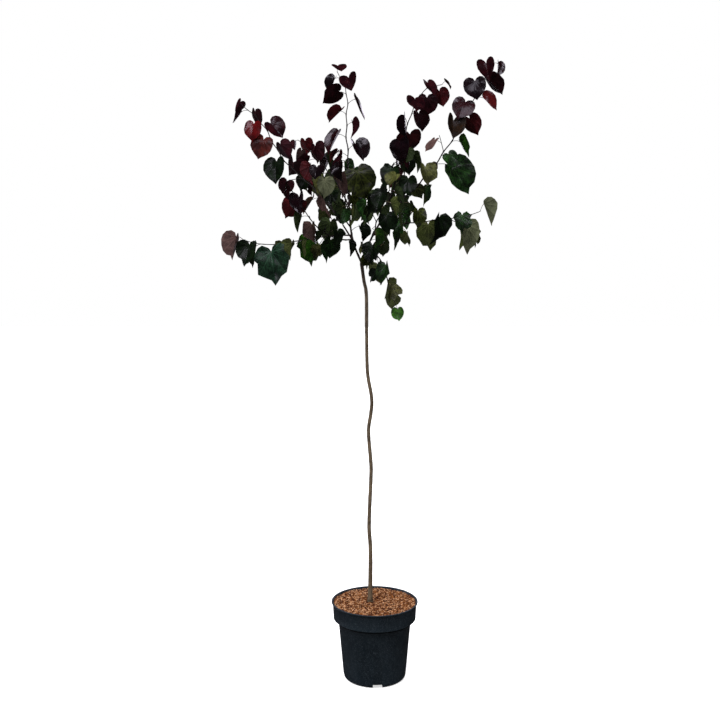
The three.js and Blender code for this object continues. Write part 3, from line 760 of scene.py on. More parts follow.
def add_bud(pile, limb, joint):
    side = rank(limb, joint.along, limb.roll, joint.hand)
    way = unit(joint.along + side * BUD.lean)
    steps = np.linspace(0, 1, len(BUD.swell)) * BUD.length
    line = joint.point + side * BUD.aside + np.outer(steps, way)
    pile.add(*tube(line, BUD.half_width * np.array(BUD.swell), BUD.sides), "shoot_dark")


def dress_mass(limb, line, grown):
    """Two pieces stand for a foliage solid: its blades, and its stem with all the stalks."""
    blades = Pile()
    cells = math.ceil(math.sqrt(len(grown.leaves) / 2))
    for cell, leaf in enumerate(grown.leaves):
        add_leaf(blades, leaf, cell, cells, leaf_looks(leaf, limb, grown.joints))
    leaf_slot = "wine_leaf" if limb.young > 0.5 else "green_leaf"
    blades.finish(limb.name + "_leaves", limb.name + "_foliage", leaf_slot, smooth_below=60)

    wood = Pile()
    add_stem(wood, limb, line, grown)
    bars = [(twig, WOOD.twig_spans, (TWIG.foot_radius, TWIG.tip_radius)) for twig in grown.twigs]
    bars += [(shoot, WOOD.shoot_spans, WOOD.shoot_radii) for shoot in grown.shoots]
    for points, spans, radii in bars:
        curve = smooth_line(points, spans)
        wood.add(*tube(curve, np.linspace(*radii, len(curve)), WOOD.stalk_sides), "shoot_dark")
    for leaf in grown.leaves:
        add_petiole(wood, leaf, limb)
    for joint in grown.joints:
        add_bud(wood, limb, joint)
    wood.finish(limb.name + "_twigs", limb.name + "_foliage", "bark", smooth_below=50)


# ---- bark-covered trunk and boughs

BARK = Facts(
    trunk_sides=28, bough_sides=18, ring_gap=3.0, curve_spans=40, bough_ring_gap=2.0,
    bough_thinning=6, grain=0.16, grain_round=5, grain_length=22, lump=0.35, lump_size=14,
    full_radius=4, scar_gaps=(48, 95), bough_scar_gaps=(28, 46), scar_height=1.3, scar_length=4.5,
    scar_reach=3, scar_ridge=0.25, scar_bulge=1.5, scar_narrow=1.8, scar_dark=(0.35, 0.65),
    scar_spread=0.6, trunk_seed=41, trunk_grain=3.7, trunk_bare=20, bough_seed=60, bough_bare=12)


def new_bar(name, rings, sides):
    """A cylinder cut into rings by hand: its side edges are picked and subdivided."""
    bpy.ops.object.select_all(action="DESELECT")
    bpy.ops.mesh.primitive_cylinder_add(vertices=sides, radius=1, depth=rings, end_fill_type="TRIFAN")
    bar = bpy.context.object
    bar.name = name
    pick_none("EDGE")
    heights = [v.co.z for v in bar.data.vertices]
    for edge in bar.data.edges:
        low, high = edge.vertices
        edge.select = abs(heights[low] - heights[high]) > rings / 2
    bpy.ops.object.mode_set(mode="EDIT")
    bpy.ops.mesh.subdivide(number_cuts=rings - 1)
    bpy.ops.object.mode_set(mode="OBJECT")
    return bar


def bend_bar(bar, line, radii, scars, grain):
    """Lays a bar along a line of points and gives it the bark's lumps, grain and scars."""
    frames = ring_frames(line)
    distances = walked(line)
    depth = max(v.co.z for v in bar.data.vertices) * 2
    darkness = []
    for vertex in bar.data.vertices:
        x, y, z = vertex.co
        ring = min(round((z / depth + 0.5) * (len(line) - 1)), len(line) - 1)
        across, third = frames[ring]
        way = across * x + third * y
        point = line[ring] + way * radii[ring]
        dark = 0.0
        if math.hypot(x, y) > 0.5:
            height = BARK.lump * noise.noise(Vector(point / BARK.lump_size) + Vector((grain, 0, 0)))
            ribs = (x * BARK.grain_round, y * BARK.grain_round, distances[ring] / BARK.grain_length + grain)
            height += BARK.grain * noise.noise(Vector(ribs))
            for at, turn in scars:
                reach = (distances[ring] - at) / BARK.scar_length
                if abs(reach) > BARK.scar_reach:
                    continue
                facing = max(0.0, x * math.cos(turn) + y * math.sin(turn))
                bump = math.exp(-reach * reach) * facing ** BARK.scar_bulge
                height += BARK.scar_height * bump + BARK.scar_ridge * math.exp(-(reach * 2) ** 2)
                around, ahead = BARK.scar_dark
                dark = max(dark, math.exp(-(reach * BARK.scar_narrow) ** 2) * (around + ahead * facing))
            point = point + way * height * min(1.0, radii[ring] / BARK.full_radius)
        darkness.append(dark)
        vertex.co = Vector(point * MM)
    bar.data.attributes.new("scar", "FLOAT", "POINT").data.foreach_set("value", darkness)
    take(bar)
    face_outwards()


def scar_places(seed, length, gaps):
    """Bud scars climb the bark turn by turn, on one side and then near the other."""
    draw = Draw(seed)
    places = []
    at = draw.between(*gaps)
    turn = draw.turn()
    while at < length:
        places.append((at, turn))
        at += draw.between(*gaps)
        turn += math.pi + draw.spread(BARK.scar_spread)
    return places


def trunk_line():
    foot, head = np.array(TRUNK.foot, float), np.array(TRUNK.head, float)
    bends = [np.array([x, 0.0, height]) for height, x in TRUNK.bends]
    coarse = smooth_line([foot, foot + UP * TRUNK.flare_height, *bends, head], BARK.curve_spans)
    places = walked(coarse)
    even = np.linspace(0, places[-1], round(places[-1] / BARK.ring_gap) + 1)
    line = np.stack([np.interp(even, places, coarse[:, k]) for k in range(3)], 1)
    return np.concatenate([line, [line[-1] + unit(line[-1] - line[-2]) * TRUNK.head_cap]])


def make_trunk():
    line = trunk_line()
    rise = TRUNK.head[2] - TRUNK.foot[2]
    up = line[:, 2] - TRUNK.foot[2]
    radii = mix(TRUNK.foot_radius, TRUNK.head_radius, up / rise)
    radii = radii + TRUNK.butt * np.exp(-up / TRUNK.butt_height)
    radii = radii + TRUNK.flare * np.exp(-up / (TRUNK.flare_height / 2))
    knuckle = (up - rise + TRUNK.knuckle_below) / TRUNK.knuckle_length
    radii = radii + TRUNK.knuckle * np.exp(-knuckle ** 2)
    radii[-1] *= TRUNK.cap_size
    trunk = new_bar("trunk_bark", len(line) - 1, BARK.trunk_sides)
    scars = scar_places(BARK.trunk_seed, rise - BARK.trunk_bare, BARK.scar_gaps)
    bend_bar(trunk, line, radii, scars, BARK.trunk_grain)
    settle(trunk, "trunk", ["bark"], smooth_below=50)


def make_bough(limb, line):
    """The bare part of a limb. Its foot is sunk in the wood that carries it."""
    rings = round(limb.bough / BARK.bough_ring_gap)
    points = np.array([place_on(line, distance)[0] for distance in np.linspace(0, limb.bough, rings + 1)])
    points = smooth_line(points[::BARK.bough_thinning], BARK.bough_thinning)
    radii = [limb_radius(limb, distance) for distance in np.linspace(0, limb.bough, len(points))]
    bough = new_bar(limb.name + "_bark", len(points) - 1, BARK.bough_sides)
    scars = scar_places(BARK.bough_seed + limb.seed, limb.bough - BARK.bough_bare, BARK.bough_scar_gaps)
    bend_bar(bough, points, radii, scars, limb.seed)
    settle(bough, limb.name + "_bough", ["bark"], smooth_below=50)


# ---- pot

def turn_profile(name, profile, sides):
    """A round vessel by hand: a filled circle whose rim is extruded from ring to ring."""
    bpy.ops.object.select_all(action="DESELECT")
    radius, height = profile[0]
    bpy.ops.mesh.primitive_circle_add(vertices=sides, radius=radius * MM, fill_type="NGON",
                                      location=(0, 0, height * MM))
    vessel = bpy.context.object
    vessel.name = name
    bpy.ops.object.transform_apply(location=True, rotation=False, scale=False)
    bpy.ops.object.mode_set(mode="EDIT")
    bpy.ops.mesh.select_mode(type="EDGE")
    bpy.ops.mesh.select_all(action="SELECT")
    bpy.ops.mesh.region_to_loop()
    for (old_radius, old_height), (radius, height) in zip(profile, profile[1:]):
        size = radius / old_radius
        bpy.ops.mesh.extrude_region_move()
        bpy.ops.transform.resize(value=(size, size, 1), center_override=(0, 0, 0))
        bpy.ops.transform.translate(value=(0, 0, (height - old_height) * MM))
    bpy.ops.mesh.edge_face_add()
    bpy.ops.object.mode_set(mode="OBJECT")
    face_outwards()
    return vessel


def arc(centre, radius, start, end, count):
    turns = np.radians(np.linspace(start, end, count))
    return [(centre[0] + radius * math.cos(t), centre[1] + radius * math.sin(t)) for t in turns]


def pot_profile():
    """The pot's section: out along the foot, up the wall, over the rim and down the inside.

    The small numbers are how far each moulded edge is rounded or drawn in."""
    foot, corner, floor, wall = POT.foot_radius, POT.corner_radius, POT.floor, POT.wall
    shoulder, ledge = POT.shoulder_radius, POT.shoulder_height
    collar, collar_low = POT.collar_radius, POT.collar_height
    recess = collar - POT.lip
    collar_high = collar + POT.collar_lean
    top, thick, rim = POT.height, POT.rim_thickness, POT.rim_radius
    rim_low = top - thick
    return [
        (foot - 8, 0), (foot, 0), *arc((foot, corner), corner, -70, -5, 6),
        (shoulder - 0.5, ledge - 2), (shoulder + 1.2, ledge + 0.4),
        (recess - 0.8, collar_low - POT.lip), (recess, collar_low - 0.6),
        (collar - 0.6, collar_low - 0.6), (collar, collar_low),
        (collar_high - 0.2, rim_low - 2.2), (collar_high + 1.2, rim_low - 0.3), (rim - 1.2, rim_low),
        *arc((rim - thick / 2, top - thick / 2), thick / 2 - 0.05, -60, 60, 5),
        (rim - 2.4, top), (collar_high + 0.4, top), (collar_high - 1.6, top - 0.8),
        (collar_high - wall, top - 3.2), (recess - wall, collar_low + 1), (shoulder - wall, ledge + 1),
        (foot + 10, floor + 6), (foot + 6, floor),
    ]


def make_pot():
    pot = turn_profile("nursery_pot", pot_profile(), POT.sides)
    for k in range(POT.notches):
        cut_notch(pot, 2 * math.pi * k / POT.notches + math.radians(POT.notch_turn))
    take(pot)
    bevel = pot.modifiers.new("edges", "BEVEL")
    bevel.width = POT.bevel * MM
    bevel.segments = 2
    bevel.limit_method = "ANGLE"
    bevel.angle_limit = math.radians(50)
    bpy.ops.object.modifier_apply(modifier="edges")
    settle(pot, "pot", ["pot_plastic"], smooth_below=35)


def cut_notch(pot, turn):
    """A drain notch in the foot, straight through the corner of the wall."""
    out = (POT.foot_radius + POT.corner_radius) * MM
    place = (out * math.sin(turn), -out * math.cos(turn), 0)
    bpy.ops.object.select_all(action="DESELECT")
    bpy.ops.mesh.primitive_cube_add(size=1, location=place, rotation=(0, 0, turn))
    block = bpy.context.object
    block.scale = (POT.notch_width * MM, 2 * POT.notch_depth * MM, 2 * POT.notch_height * MM)
    bpy.ops.object.transform_apply(location=True, rotation=True, scale=True)
    cut = pot.modifiers.new("notch", "BOOLEAN")
    cut.operation = "DIFFERENCE"
    cut.solver = "EXACT"
    cut.object = block
    take(pot)
    bpy.ops.object.modifier_apply(modifier="notch")
    bpy.data.objects.remove(block, do_unlink=True)


# ---- bark mulch

CHIPS = Facts(count=4200, seed=77, length=(4, 16), shortest=0.55, width=(1.4, 4.8),
              thick=(0.8, 2.0), uneven=(0.8, 1.1), top=0.82, rough=0.5, tilt=28, lift=(0.6, 2.8),
              edge=149, over_edge=2, clear_of_stem=12, sunk_reach=0.6)
# The colours of the flakes, dealt evenly, and the outline of a flake of unit length and width.
CHIP_MIX = "orange orange tan tan brown dark dark".split()
CHIP_OUTLINE = [(-0.5, -0.25), (-0.3, -0.5), (0.25, -0.46), (0.5, -0.12), (0.42, 0.34),
                (-0.1, 0.5), (-0.46, 0.3)]


def bed_height(x, y):
    """The top of the soil under the flakes: a little crowned, with low lumps."""
    crowned = mix(SOIL.crown, SOIL.edge, min(1.0, math.hypot(x, y) / CHIPS.edge))
    place = (x / SOIL.bump_width, y / SOIL.bump_width, SOIL.bump_seed)
    return crowned - SOIL.under_chips + SOIL.bump * noise.noise(Vector(place))


def make_bed():
    inside = POT.wall + SOIL.clear
    profile = [
        (POT.foot_radius + 5, POT.floor + 0.4), (POT.foot_radius + 9, POT.floor + 7),
        (POT.shoulder_radius - inside, POT.shoulder_height),
        (POT.collar_radius - POT.lip - inside, POT.collar_height + 2),
        (POT.collar_radius - SOIL.clear, SOIL.edge - SOIL.skirt),
    ]
    bed = turn_profile("mulch_bed", profile, SOIL.sides)
    top = max(bed.data.polygons, key=lambda face: face.center.z).index
    pick_none("FACE")
    bed.data.polygons[top].select = True
    bpy.ops.object.mode_set(mode="EDIT")
    for _ in range(SOIL.rings):
        bpy.ops.mesh.inset(thickness=SOIL.ring_width * MM, depth=0)
    bpy.ops.object.mode_set(mode="OBJECT")
    for vertex in bed.data.vertices:
        if vertex.co.z > (SOIL.edge - SOIL.skirt - 0.5) * MM:
            vertex.co.z = bed_height(vertex.co.x / MM, vertex.co.y / MM) * MM
    settle(bed, "soil", ["soil"], smooth_below=60)


def chip_shape(draw):
    """A flat flake: a seven-sided outline, thick in the middle and thin at its edge."""
    length = draw.between(*CHIPS.length) * (CHIPS.shortest + (1 - CHIPS.shortest) * draw.next())
    width = min(length, draw.between(*CHIPS.width))
    thick = draw.between(*CHIPS.thick)
    outline = np.array([(x * length * draw.between(*CHIPS.uneven), y * width * draw.between(*CHIPS.uneven))
                        for x, y in CHIP_OUTLINE])
    count = len(outline)
    low = np.column_stack([outline, np.full(count, -thick / 2)])
    high = np.column_stack([outline * CHIPS.top, np.full(count, thick / 2)])
    high[:, 2] += [draw.spread(CHIPS.rough) for _ in range(count)]
    faces = [tuple(range(count - 1, -1, -1)), tuple(range(count, 2 * count))]
    faces += [(k, (k + 1) % count, count + (k + 1) % count, count + k) for k in range(count)]
    return np.concatenate([low, high]), faces


def make_chips():
    draw = Draw(CHIPS.seed)
    pile = Pile()
    foot_x, foot_y, _ = TRUNK.foot
    placed = 0
    while placed < CHIPS.count:
        radius = CHIPS.edge * math.sqrt(draw.next())
        turn = draw.turn()
        x, y = radius * math.cos(turn), radius * math.sin(turn)
        points, faces = chip_shape(draw)
        reach = np.abs(points[:, 0]).max()
        if math.hypot(x - foot_x, y - foot_y) < CHIPS.clear_of_stem + reach * CHIPS.sunk_reach:
            continue
        if radius + reach > CHIPS.edge + CHIPS.over_edge:
            radius = CHIPS.edge + CHIPS.over_edge - reach
            x, y = radius * math.cos(turn), radius * math.sin(turn)
        spin = math.degrees(draw.turn())
        tilt, lean = draw.spread(CHIPS.tilt), draw.spread(CHIPS.tilt)
        for axis, degrees in zip(np.eye(3), (tilt, lean, spin)):
            points = turned(points, axis, degrees)
        low, spread = CHIPS.lift
        height = bed_height(x, y) + low + spread * draw.next()
        finish = "chip_" + CHIP_MIX[int(draw.next() * len(CHIP_MIX))]
        pile.add(points + (x, y, height), faces, finish, draw.next())
        placed += 1
    pile.finish("bark_chips", "soil", "mulch", smooth_below=30)


# ---- shader nodes, and the effects that several finishes share

def srgb(colour):
    """Screen values from 0 to 255, as the linear light that a shader works in."""
    parts = [part / 255 for part in colour]
    return [part / 12.92 if part <= 0.04045 else ((part + 0.055) / 1.055) ** 2.4 for part in parts]


class Nodes:
    """Adds nodes to one tree. Where a node takes a value, it may be a socket or plain."""

    def __init__(self, tree):
        self.tree = tree

    def feed(self, socket, value):
        if isinstance(value, bpy.types.NodeSocket):
            self.tree.links.new(value, socket)
        elif socket.type == "RGBA":
            socket.default_value = (*srgb(value), 1)
        else:
            socket.default_value = value

    def add(self, kind, inputs, output=0, **options):
        node = self.tree.nodes.new("ShaderNode" + kind)
        for option, value in options.items():
            setattr(node, option, value)
        for socket, value in inputs.items():
            self.feed(node.inputs[socket], value)
        return node.outputs[output]

    def math(self, operation, *values):
        return self.add("Math", dict(enumerate(values)), operation=operation)

    def times(self, first, second):
        return self.math("MULTIPLY", first, second)

    def ramp(self, value, low, high, least=0.0, most=1.0):
        """Runs smoothly from `least` to `most` while a value goes from `low` to `high`."""
        inputs = {"Value": value, "From Min": low, "From Max": high, "To Min": least, "To Max": most}
        return self.add("MapRange", inputs, interpolation_type="SMOOTHSTEP")

    def noise(self, place, scale, detail, roughness=0.55):
        inputs = {"Vector": place, "Scale": scale, "Detail": detail, "Roughness": roughness}
        return self.add("TexNoise", inputs, "Fac")

    def mask(self, place, scale, detail, low, high, least=0.0, most=1.0):
        """Noise sharpened by a ramp."""
        return self.ramp(self.noise(place, scale, detail), low, high, least, most)

    def mix(self, factor, first, second, mode="MIX"):
        """The colour sockets of a Mix node are its inputs 6 and 7 and its output 2."""
        return self.add("Mix", {0: factor, 6: first, 7: second}, 2, data_type="RGBA", blend_type=mode)

    def object_place(self):
        return self.add("TexCoord", {}, "Object")

    def stretched(self, place, upwards):
        """A place whose pattern is drawn out along the height."""
        return self.add("Mapping", {"Vector": place, "Scale": (1, 1, upwards)})

    def parts(self, place):
        """The three numbers of a place, as sockets."""
        return self.add("SeparateXYZ", {0: place}).node.outputs

    def attribute(self, name):
        return self.add("Attribute", {}, "Fac", attribute_name=name)

    def group(self, group, **values):
        made = self.tree.nodes.new("ShaderNodeGroup")
        made.node_tree = group
        for name, value in values.items():
            self.feed(made.inputs[name.replace("_", " ")], value)
        return made.outputs


def new_group(name, numbers, masks):
    """An empty node group. It takes a place and named numbers, and gives named masks."""
    group = bpy.data.node_groups.new(name, "ShaderNodeTree")
    group.interface.new_socket(name="Place", in_out="INPUT", socket_type="NodeSocketVector")
    for number, usual in numbers.items():
        made = group.interface.new_socket(name=number, in_out="INPUT", socket_type="NodeSocketFloat")
        made.default_value = usual
    for mask in masks:
        group.interface.new_socket(name=mask, in_out="OUTPUT", socket_type="NodeSocketFloat")
    given = group.nodes.new("NodeGroupInput").outputs
    wanted = group.nodes.new("NodeGroupOutput").inputs
    return group, Nodes(group), given, wanted


VEINS = Facts(fan=32, reach=1.25, rungs=58, rung_slant=-90, rung_edge=0.86, cells=16,
              cell_line=0.07, cell_share=0.6, puff=0.09, puff_cut=0.15)


def vein_group():
    """Veins of a heart-shaped blade: main ones fan out from the petiole's joint, with a net."""
    group, nodes, given, wanted = new_group("leaf_veins", {"Width": 0.02, "Net": 0.4}, ["Veins", "Quilting"])
    across, along, _ = nodes.parts(given["Place"])
    reach = nodes.math("SQRT", nodes.math("ADD", nodes.times(across, across), nodes.times(along, along)))
    fan = math.radians(VEINS.fan)
    inside = nodes.math("WRAP", nodes.math("ARCTAN2", across, along), fan / 2, -fan / 2)
    off = nodes.times(nodes.math("ABSOLUTE", inside), reach)
    taper = nodes.times(given["Width"], nodes.math("SUBTRACT", VEINS.reach, reach))
    main = nodes.math("SUBTRACT", 1.0, nodes.math("DIVIDE", off, taper))
    main = nodes.math("MAXIMUM", main, 0.0)

    rung = nodes.math("ADD", nodes.times(reach, VEINS.rungs), nodes.times(off, VEINS.rung_slant))
    rungs = nodes.ramp(nodes.math("SINE", rung), VEINS.rung_edge, 1.0)
    cells = nodes.add("TexVoronoi", {"Vector": given["Place"], "Scale": VEINS.cells}, "Distance",
                      feature="DISTANCE_TO_EDGE")
    net = nodes.ramp(cells, 0.0, VEINS.cell_line, 1.0, 0.0)
    fine = nodes.math("MAXIMUM", rungs, nodes.times(net, VEINS.cell_share))
    fine = nodes.times(fine, given["Net"])
    nodes.feed(wanted["Veins"], nodes.math("MAXIMUM", main, fine))
    puffed = nodes.ramp(off, 0.0, VEINS.puff)
    nodes.feed(wanted["Quilting"], nodes.math("SUBTRACT", puffed, nodes.times(fine, VEINS.puff_cut)))
    return group


def mottle_group():
    """Soft blotches and fine specks over an object, both as masks from 0 to 1."""
    numbers = {"Blotch Scale": 30.0, "Speck Scale": 500.0, "Speck Share": 0.3}
    group, nodes, given, wanted = new_group("mottle", numbers, ["Blotches", "Specks"])
    blotches, specks = (nodes.noise(given["Place"], given[scale], 3.0, 0.5)
                        for scale in ("Blotch Scale", "Speck Scale"))
    nodes.feed(wanted["Blotches"], nodes.ramp(blotches, 0.35, 0.65))
    least = nodes.math("SUBTRACT", 0.72, nodes.times(given["Speck Share"], 0.3))
    nodes.feed(wanted["Specks"], nodes.ramp(nodes.math("SUBTRACT", specks, least), 0.0, 0.05))
    return group


def new_material(name, roughness, specular):
    material = bpy.data.materials.new(name)
    material.use_nodes = True
    nodes = Nodes(material.node_tree)
    shader = material.node_tree.nodes["Principled BSDF"].inputs
    nodes.feed(shader["Roughness"], roughness)
    nodes.feed(shader["Specular IOR Level"], specular)
    return material, nodes, shader


def finish_off(nodes, shader, colour, height, strength, depth):
    """Gives a material its colour and its bump, `depth` millimetres deep."""
    nodes.feed(shader["Base Color"], colour)
    bump = {"Height": height, "Strength": strength, "Distance": depth * MM}
    nodes.feed(shader["Normal"], nodes.add("Bump", bump))


# ---- finishes, with their colours as screen values

# What the young wine-red sides, the grown green sides and the undersides of leaves have. Their crease number
# is how strongly painted shade darkens the creases of the upper side.
SIDES = {
    "young": Facts(specular=0.4, vein=0.014, net=0.3, crease=0.3, quilting=0.25, puckers=16),
    "grown": Facts(specular=0.3, vein=0.014, net=0.3, crease=0.75, quilting=0.7, puckers=24),
    "under": Facts(specular=0.14, vein=0.022, net=0.5, crease=0, quilting=-1, puckers=10),
}
# Each leaf finish: its side, base, vein and blotch colours, roughness and how strong its veins are.
LEAF_FINISHES = {
    "wine_red": ("young", (100, 13, 15), (114, 25, 25), (62, 8, 11), 0.3, 0.3),
    "wine_dark": ("young", (40, 8, 13), (52, 14, 20), (20, 4, 8), 0.27, 0.25),
    "wine_black": ("young", (18, 5, 9), (30, 10, 16), (8, 3, 5), 0.25, 0.25),
    "plum": ("young", (50, 20, 32), (68, 36, 48), (28, 10, 18), 0.28, 0.35),
    "red_brown": ("grown", (74, 22, 16), (90, 34, 26), (44, 13, 10), 0.4, 0.35),
    "bronze": ("grown", (44, 28, 16), (60, 43, 26), (24, 16, 10), 0.42, 0.4),
    "olive": ("grown", (74, 77, 36), (106, 108, 62), (38, 40, 16), 0.44, 0.55),
    "black_green": ("grown", (13, 28, 9), (30, 50, 23), (4, 8, 3), 0.38, 0.55),
    "dark_olive": ("grown", (50, 58, 16), (84, 92, 42), (9, 12, 3), 0.38, 0.7),
    "deep_green": ("grown", (28, 62, 20), (60, 92, 44), (7, 17, 6), 0.38, 0.6),
    "blue_green": ("grown", (22, 48, 30), (50, 82, 62), (8, 21, 13), 0.38, 0.6),
    "bright_green": ("grown", (50, 100, 18), (78, 122, 36), (20, 48, 8), 0.42, 0.55),
    "under_wine": ("under", (46, 13, 20), (60, 22, 28), (28, 8, 12), 0.45, 0.4),
    "under_red": ("under", (74, 17, 21), (88, 30, 33), (48, 11, 14), 0.48, 0.4),
    "under_rose": ("under", (86, 26, 38), (102, 44, 54), (56, 16, 25), 0.5, 0.45),
    "under_mauve": ("under", (84, 62, 58), (104, 82, 76), (58, 42, 40), 0.62, 0.7),
    "under_green": ("under", (36, 48, 22), (58, 70, 38), (22, 30, 13), 0.55, 0.7),
    "under_olive": ("under", (60, 68, 32), (84, 90, 50), (40, 46, 20), 0.6, 0.8),
    "under_grey": ("under", (90, 95, 70), (118, 122, 94), (66, 70, 50), 0.62, 0.8),
}
# Young wood and stalks: their colour, its dark grain and the roughness.
SHOOT_FINISHES = {
    "shoot_dark": ((36, 28, 27), (18, 14, 14), 0.5),
    "shoot_wine": ((64, 29, 32), (34, 18, 21), 0.42),
    "shoot_green": ((104, 96, 66), (70, 58, 44), 0.5),
}
# The flakes of bark: dry and damp.
CHIP_FINISHES = {
    "chip_orange": ((172, 110, 60), (112, 68, 34)),
    "chip_tan": ((226, 182, 142), (172, 122, 84)),
    "chip_brown": ((132, 78, 42), (84, 46, 24)),
    "chip_dark": ((92, 46, 26), (50, 24, 14)),
}


def leaf_material(name, veins, mottle):
    side, base, vein, blotch, roughness, contrast = LEAF_FINISHES[name]
    side = SIDES[side]
    material, nodes, shader = new_material(name, roughness, side.specular)
    place = nodes.object_place()
    own = nodes.add("UVMap", {}, "UV", uv_map="leaf")
    pattern = nodes.group(veins, Place=own, Width=side.vein, Net=side.net)
    spread = nodes.group(mottle, Place=place, Blotch_Scale=44.0, Speck_Scale=900.0, Speck_Share=0.1)
    colour = nodes.mix(spread["Blotches"], base, blotch)
    # Painted shade: fine noise darkens the upper side towards the blotch colour, standing in for the shade
    # in the creases of a quilted blade.
    if side.crease:
        crease = nodes.mask(place, scale=150, detail=1.5, low=0.44, high=0.6, most=side.crease)
        colour = nodes.mix(crease, colour, blotch)
    colour = nodes.mix(nodes.times(pattern["Veins"], contrast), colour, vein)
    tone = nodes.ramp(nodes.attribute("tone"), 0.0, 1.0, 0.78, 1.28)
    shade = nodes.add("CombineColor", {0: tone, 1: tone, 2: tone})
    colour = nodes.mix(1.0, colour, shade, "MULTIPLY")
    quilted = nodes.times(pattern["Quilting"], side.quilting)
    puckers = nodes.times(nodes.noise(place, scale=21, detail=0), side.puckers)
    finish_off(nodes, shader, colour, nodes.math("ADD", quilted, puckers), strength=0.85, depth=0.9)
    return material


def shoot_material(name):
    """Young wood and stalks: smooth, with small pale pores."""
    colour, dark, roughness = SHOOT_FINISHES[name]
    material, nodes, shader = new_material(name, roughness, specular=0.35)
    place = nodes.object_place()
    grain = nodes.mask(place, scale=220, detail=3, low=0.3, high=0.7)
    pores = nodes.mask(place, scale=900, detail=1, low=0.66, high=0.72, most=0.35)
    mixed = nodes.mix(pores, nodes.mix(grain, dark, colour), (104, 88, 76))
    finish_off(nodes, shader, mixed, grain, strength=0.3, depth=0.3)
    return material


def bark_material():
    """Grey-brown bark, nearly black round the fork, with streaks, pores and dark scars."""
    material, nodes, shader = new_material("bark", roughness=0.72, specular=0.3)
    place = nodes.object_place()
    streaks = nodes.mask(nodes.stretched(place, 0.16), scale=420, detail=4, low=0.3, high=0.7)
    patches = nodes.mask(place, scale=34, detail=2, low=0.35, high=0.7)
    colour = nodes.mix(streaks, (56, 45, 34), (106, 92, 72))
    colour = nodes.mix(nodes.times(patches, 0.6), colour, (122, 107, 86))
    pores = nodes.mask(place, scale=700, detail=1, low=0.64, high=0.7, most=0.5)
    colour = nodes.mix(pores, colour, (168, 152, 132))
    _, _, height = nodes.parts(place)
    young = nodes.ramp(height, 1.36, 1.52)
    colour = nodes.mix(young, colour, nodes.mix(streaks, (28, 21, 20), (52, 40, 37)))
    colour = nodes.mix(nodes.times(nodes.attribute("scar"), 0.85), colour, (40, 28, 22))
    finish_off(nodes, shader, colour, nodes.math("ADD", streaks, pores), strength=0.6, depth=0.5)
    return material


def pot_material(mottle):
    """Blue-black moulded plastic with fine specks and faint scuffs, and painted shade: a near-black band in
    the recess under the collar.
    """
    material, nodes, shader = new_material("pot_plastic", roughness=0.5, specular=0.3)
    place = nodes.object_place()
    spread = nodes.group(mottle, Place=place, Blotch_Scale=9.0, Speck_Scale=430.0, Speck_Share=0.5)
    colour = nodes.mix(spread["Blotches"], (18, 28, 35), (27, 37, 44))
    scuffs = nodes.mask(nodes.stretched(place, 0.12), scale=45, detail=4, low=0.5, high=0.8, most=0.3)
    colour = nodes.mix(scuffs, colour, (44, 54, 62))
    colour = nodes.mix(nodes.times(spread["Specks"], 0.6), colour, (78, 88, 94))
    _, _, height = nodes.parts(place)
    # Painted shade: the recess under the collar's lip is coloured near-black where shade falls, and is made
    # rougher there.
    lip = POT.collar_height * MM
    painted_shade_under_lip = nodes.ramp(height, lip - 0.0085, lip - 0.006)
    recess = nodes.times(painted_shade_under_lip, nodes.ramp(height, lip - 0.0006, lip, 1.0, 0.0))
    colour = nodes.mix(recess, colour, (2, 4, 6))
    matt = nodes.mask(place, scale=40, detail=3, low=0.3, high=0.7, least=0.36, most=0.56)
    nodes.feed(shader["Roughness"], nodes.math("ADD", matt, nodes.times(recess, 0.4)))
    skin = nodes.noise(place, scale=900, detail=2)
    finish_off(nodes, shader, colour, skin, strength=0.25, depth=0.4)
    return material


def chip_material(name):
    """A flake of bark: fibres along it, darker where it is damp."""
    dry, damp = CHIP_FINISHES[name]
    material, nodes, shader = new_material(name, roughness=0.85, specular=0.25)
    fibre = nodes.mask(nodes.object_place(), scale=650, detail=4, low=0.3, high=0.72)
    wet = nodes.ramp(nodes.attribute("tone"), 0.0, 1.0, 0.0, 0.6)
    colour = nodes.mix(wet, nodes.mix(fibre, damp, dry), damp)
    finish_off(nodes, shader, colour, fibre, strength=0.7, depth=0.6)
    return material


def soil_material():
    material, nodes, shader = new_material("soil", roughness=0.95, specular=0.2)
    crumbs = nodes.mask(nodes.object_place(), scale=240, detail=5, low=0.35, high=0.65)
    colour = nodes.mix(crumbs, (40, 20, 13), (92, 52, 32))
    finish_off(nodes, shader, colour, crumbs, strength=0.9, depth=2)
    return material


def make_finishes():
    veins, mottle = vein_group(), mottle_group()
    made = [leaf_material(name, veins, mottle) for name in LEAF_FINISHES]
    made += [shoot_material(name) for name in SHOOT_FINISHES]
    made += [bark_material(), pot_material(mottle), soil_material()]
    made += [chip_material(name) for name in CHIP_FINISHES]
    names = [*LEAF_FINISHES, *SHOOT_FINISHES, "bark", "pot_plastic", "soil", *CHIP_FINISHES]
    return dict(zip(names, made))


# ---- camera, light and floor

CAMERA = Facts(place=(-0.0531, -3.18, 1.40), lens=43.69, sensor=36, shift=-0.0969)
WHITE = (255, 255, 255)
# The brightness of the room and of the floor: to the eye, in a gloss and as light on the tree.
STUDIO = Facts(room=(1.0, 0.015, 0.34), floor=(0.95, 0.03, 0.2), floor_lit=(0.62, 0.0, 0.0),
               floor_size=60, sun_from=(-0.35, -0.85, 2.2), sun=3.4, sun_angle=50)
# Each soft box: its place, what it is aimed at, its width and its power.
SOFT_BOXES = {
    "left_box": ((-1.7, -2.3, 2.9), (0, 0, 1.8), 0.7, 18),
    "right_box": ((1.9, -2.2, 3.1), (0, 0, 1.8), 0.6, 17),
    "top_box": ((0.1, -2.3, 4.1), (0, 0, 1.7), 1.1, 15),
    "pot_box": ((-2.2, 0.3, 0.6), (0, 0, 0.15), 0.8, 10),
    "back_box": ((0.4, 2.8, 2.6), (0, 0, 1.6), 1.6, 30),
}
BOX_TINT = (0.92, 0.86, 1.0)


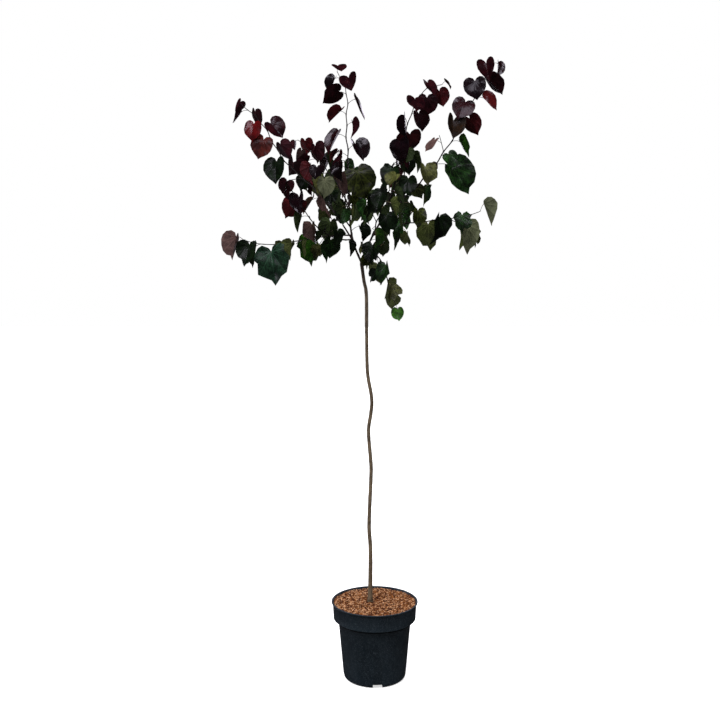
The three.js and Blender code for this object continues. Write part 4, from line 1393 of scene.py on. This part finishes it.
def add_camera():
    bpy.ops.object.camera_add(location=CAMERA.place, rotation=(math.radians(90), 0, 0))
    camera = bpy.context.object
    camera.data.sensor_width = CAMERA.sensor
    camera.data.lens = CAMERA.lens
    camera.data.shift_y = CAMERA.shift
    bpy.context.scene.camera = camera


def add_light(name, kind, place, target, power):
    aim = (Vector(target) - Vector(place)).to_track_quat("-Z", "Y").to_euler()
    bpy.ops.object.light_add(type=kind, location=place, rotation=aim)
    light = bpy.context.object
    light.name = name
    light.data.energy = power
    return light


def by_ray(nodes, looked_at, mirrored, lighting):
    """A number for rays from the camera, one for mirrored rays and one for all the others."""
    rays = nodes.add("LightPath", {}).node.outputs
    value = lighting
    for ray, wanted in (("Is Glossy Ray", mirrored), ("Is Camera Ray", looked_at)):
        value = nodes.add("MapRange", {"Value": rays[ray], "To Min": value, "To Max": wanted})
    return value


def add_studio():
    world = bpy.data.worlds.new("white_room")
    bpy.context.scene.world = world
    world.use_nodes = True
    nodes = Nodes(world.node_tree)
    background = world.node_tree.nodes["Background"].inputs
    nodes.feed(background["Color"], WHITE)
    nodes.feed(background["Strength"], by_ray(nodes, *STUDIO.room))

    sun = add_light("overhead", "SUN", STUDIO.sun_from, (0, 0, 0), STUDIO.sun)
    sun.data.angle = math.radians(STUDIO.sun_angle)
    sun.visible_glossy = False
    for name, (place, target, size, power) in SOFT_BOXES.items():
        box = add_light(name, "AREA", place, target, power)
        box.data.size = size
        box.data.color = BOX_TINT

    bpy.ops.mesh.primitive_plane_add(size=STUDIO.floor_size, location=(0, 0, -0.5 * MM))
    floor = bpy.context.object
    floor.name = "floor"
    pale, nodes, shader = new_material("pale_floor", roughness=0.9, specular=0.1)
    nodes.feed(shader["Base Color"], by_ray(nodes, *STUDIO.floor))
    nodes.feed(shader["Emission Color"], WHITE)
    nodes.feed(shader["Emission Strength"], by_ray(nodes, *STUDIO.floor_lit))
    floor.data.materials.append(pale)
    bpy.context.scene.view_settings.view_transform = "Standard"


# ---- the whole tree

add_camera()
add_studio()
FINISHES = make_finishes()
make_pot()
make_bed()
make_chips()
make_trunk()
LINES, CROWN = grow_crown()
for LIMB in LIMBS:
    make_bough(LIMB, LINES[LIMB.name])
    dress_mass(LIMB, LINES[LIMB.name], CROWN[LIMB.name])
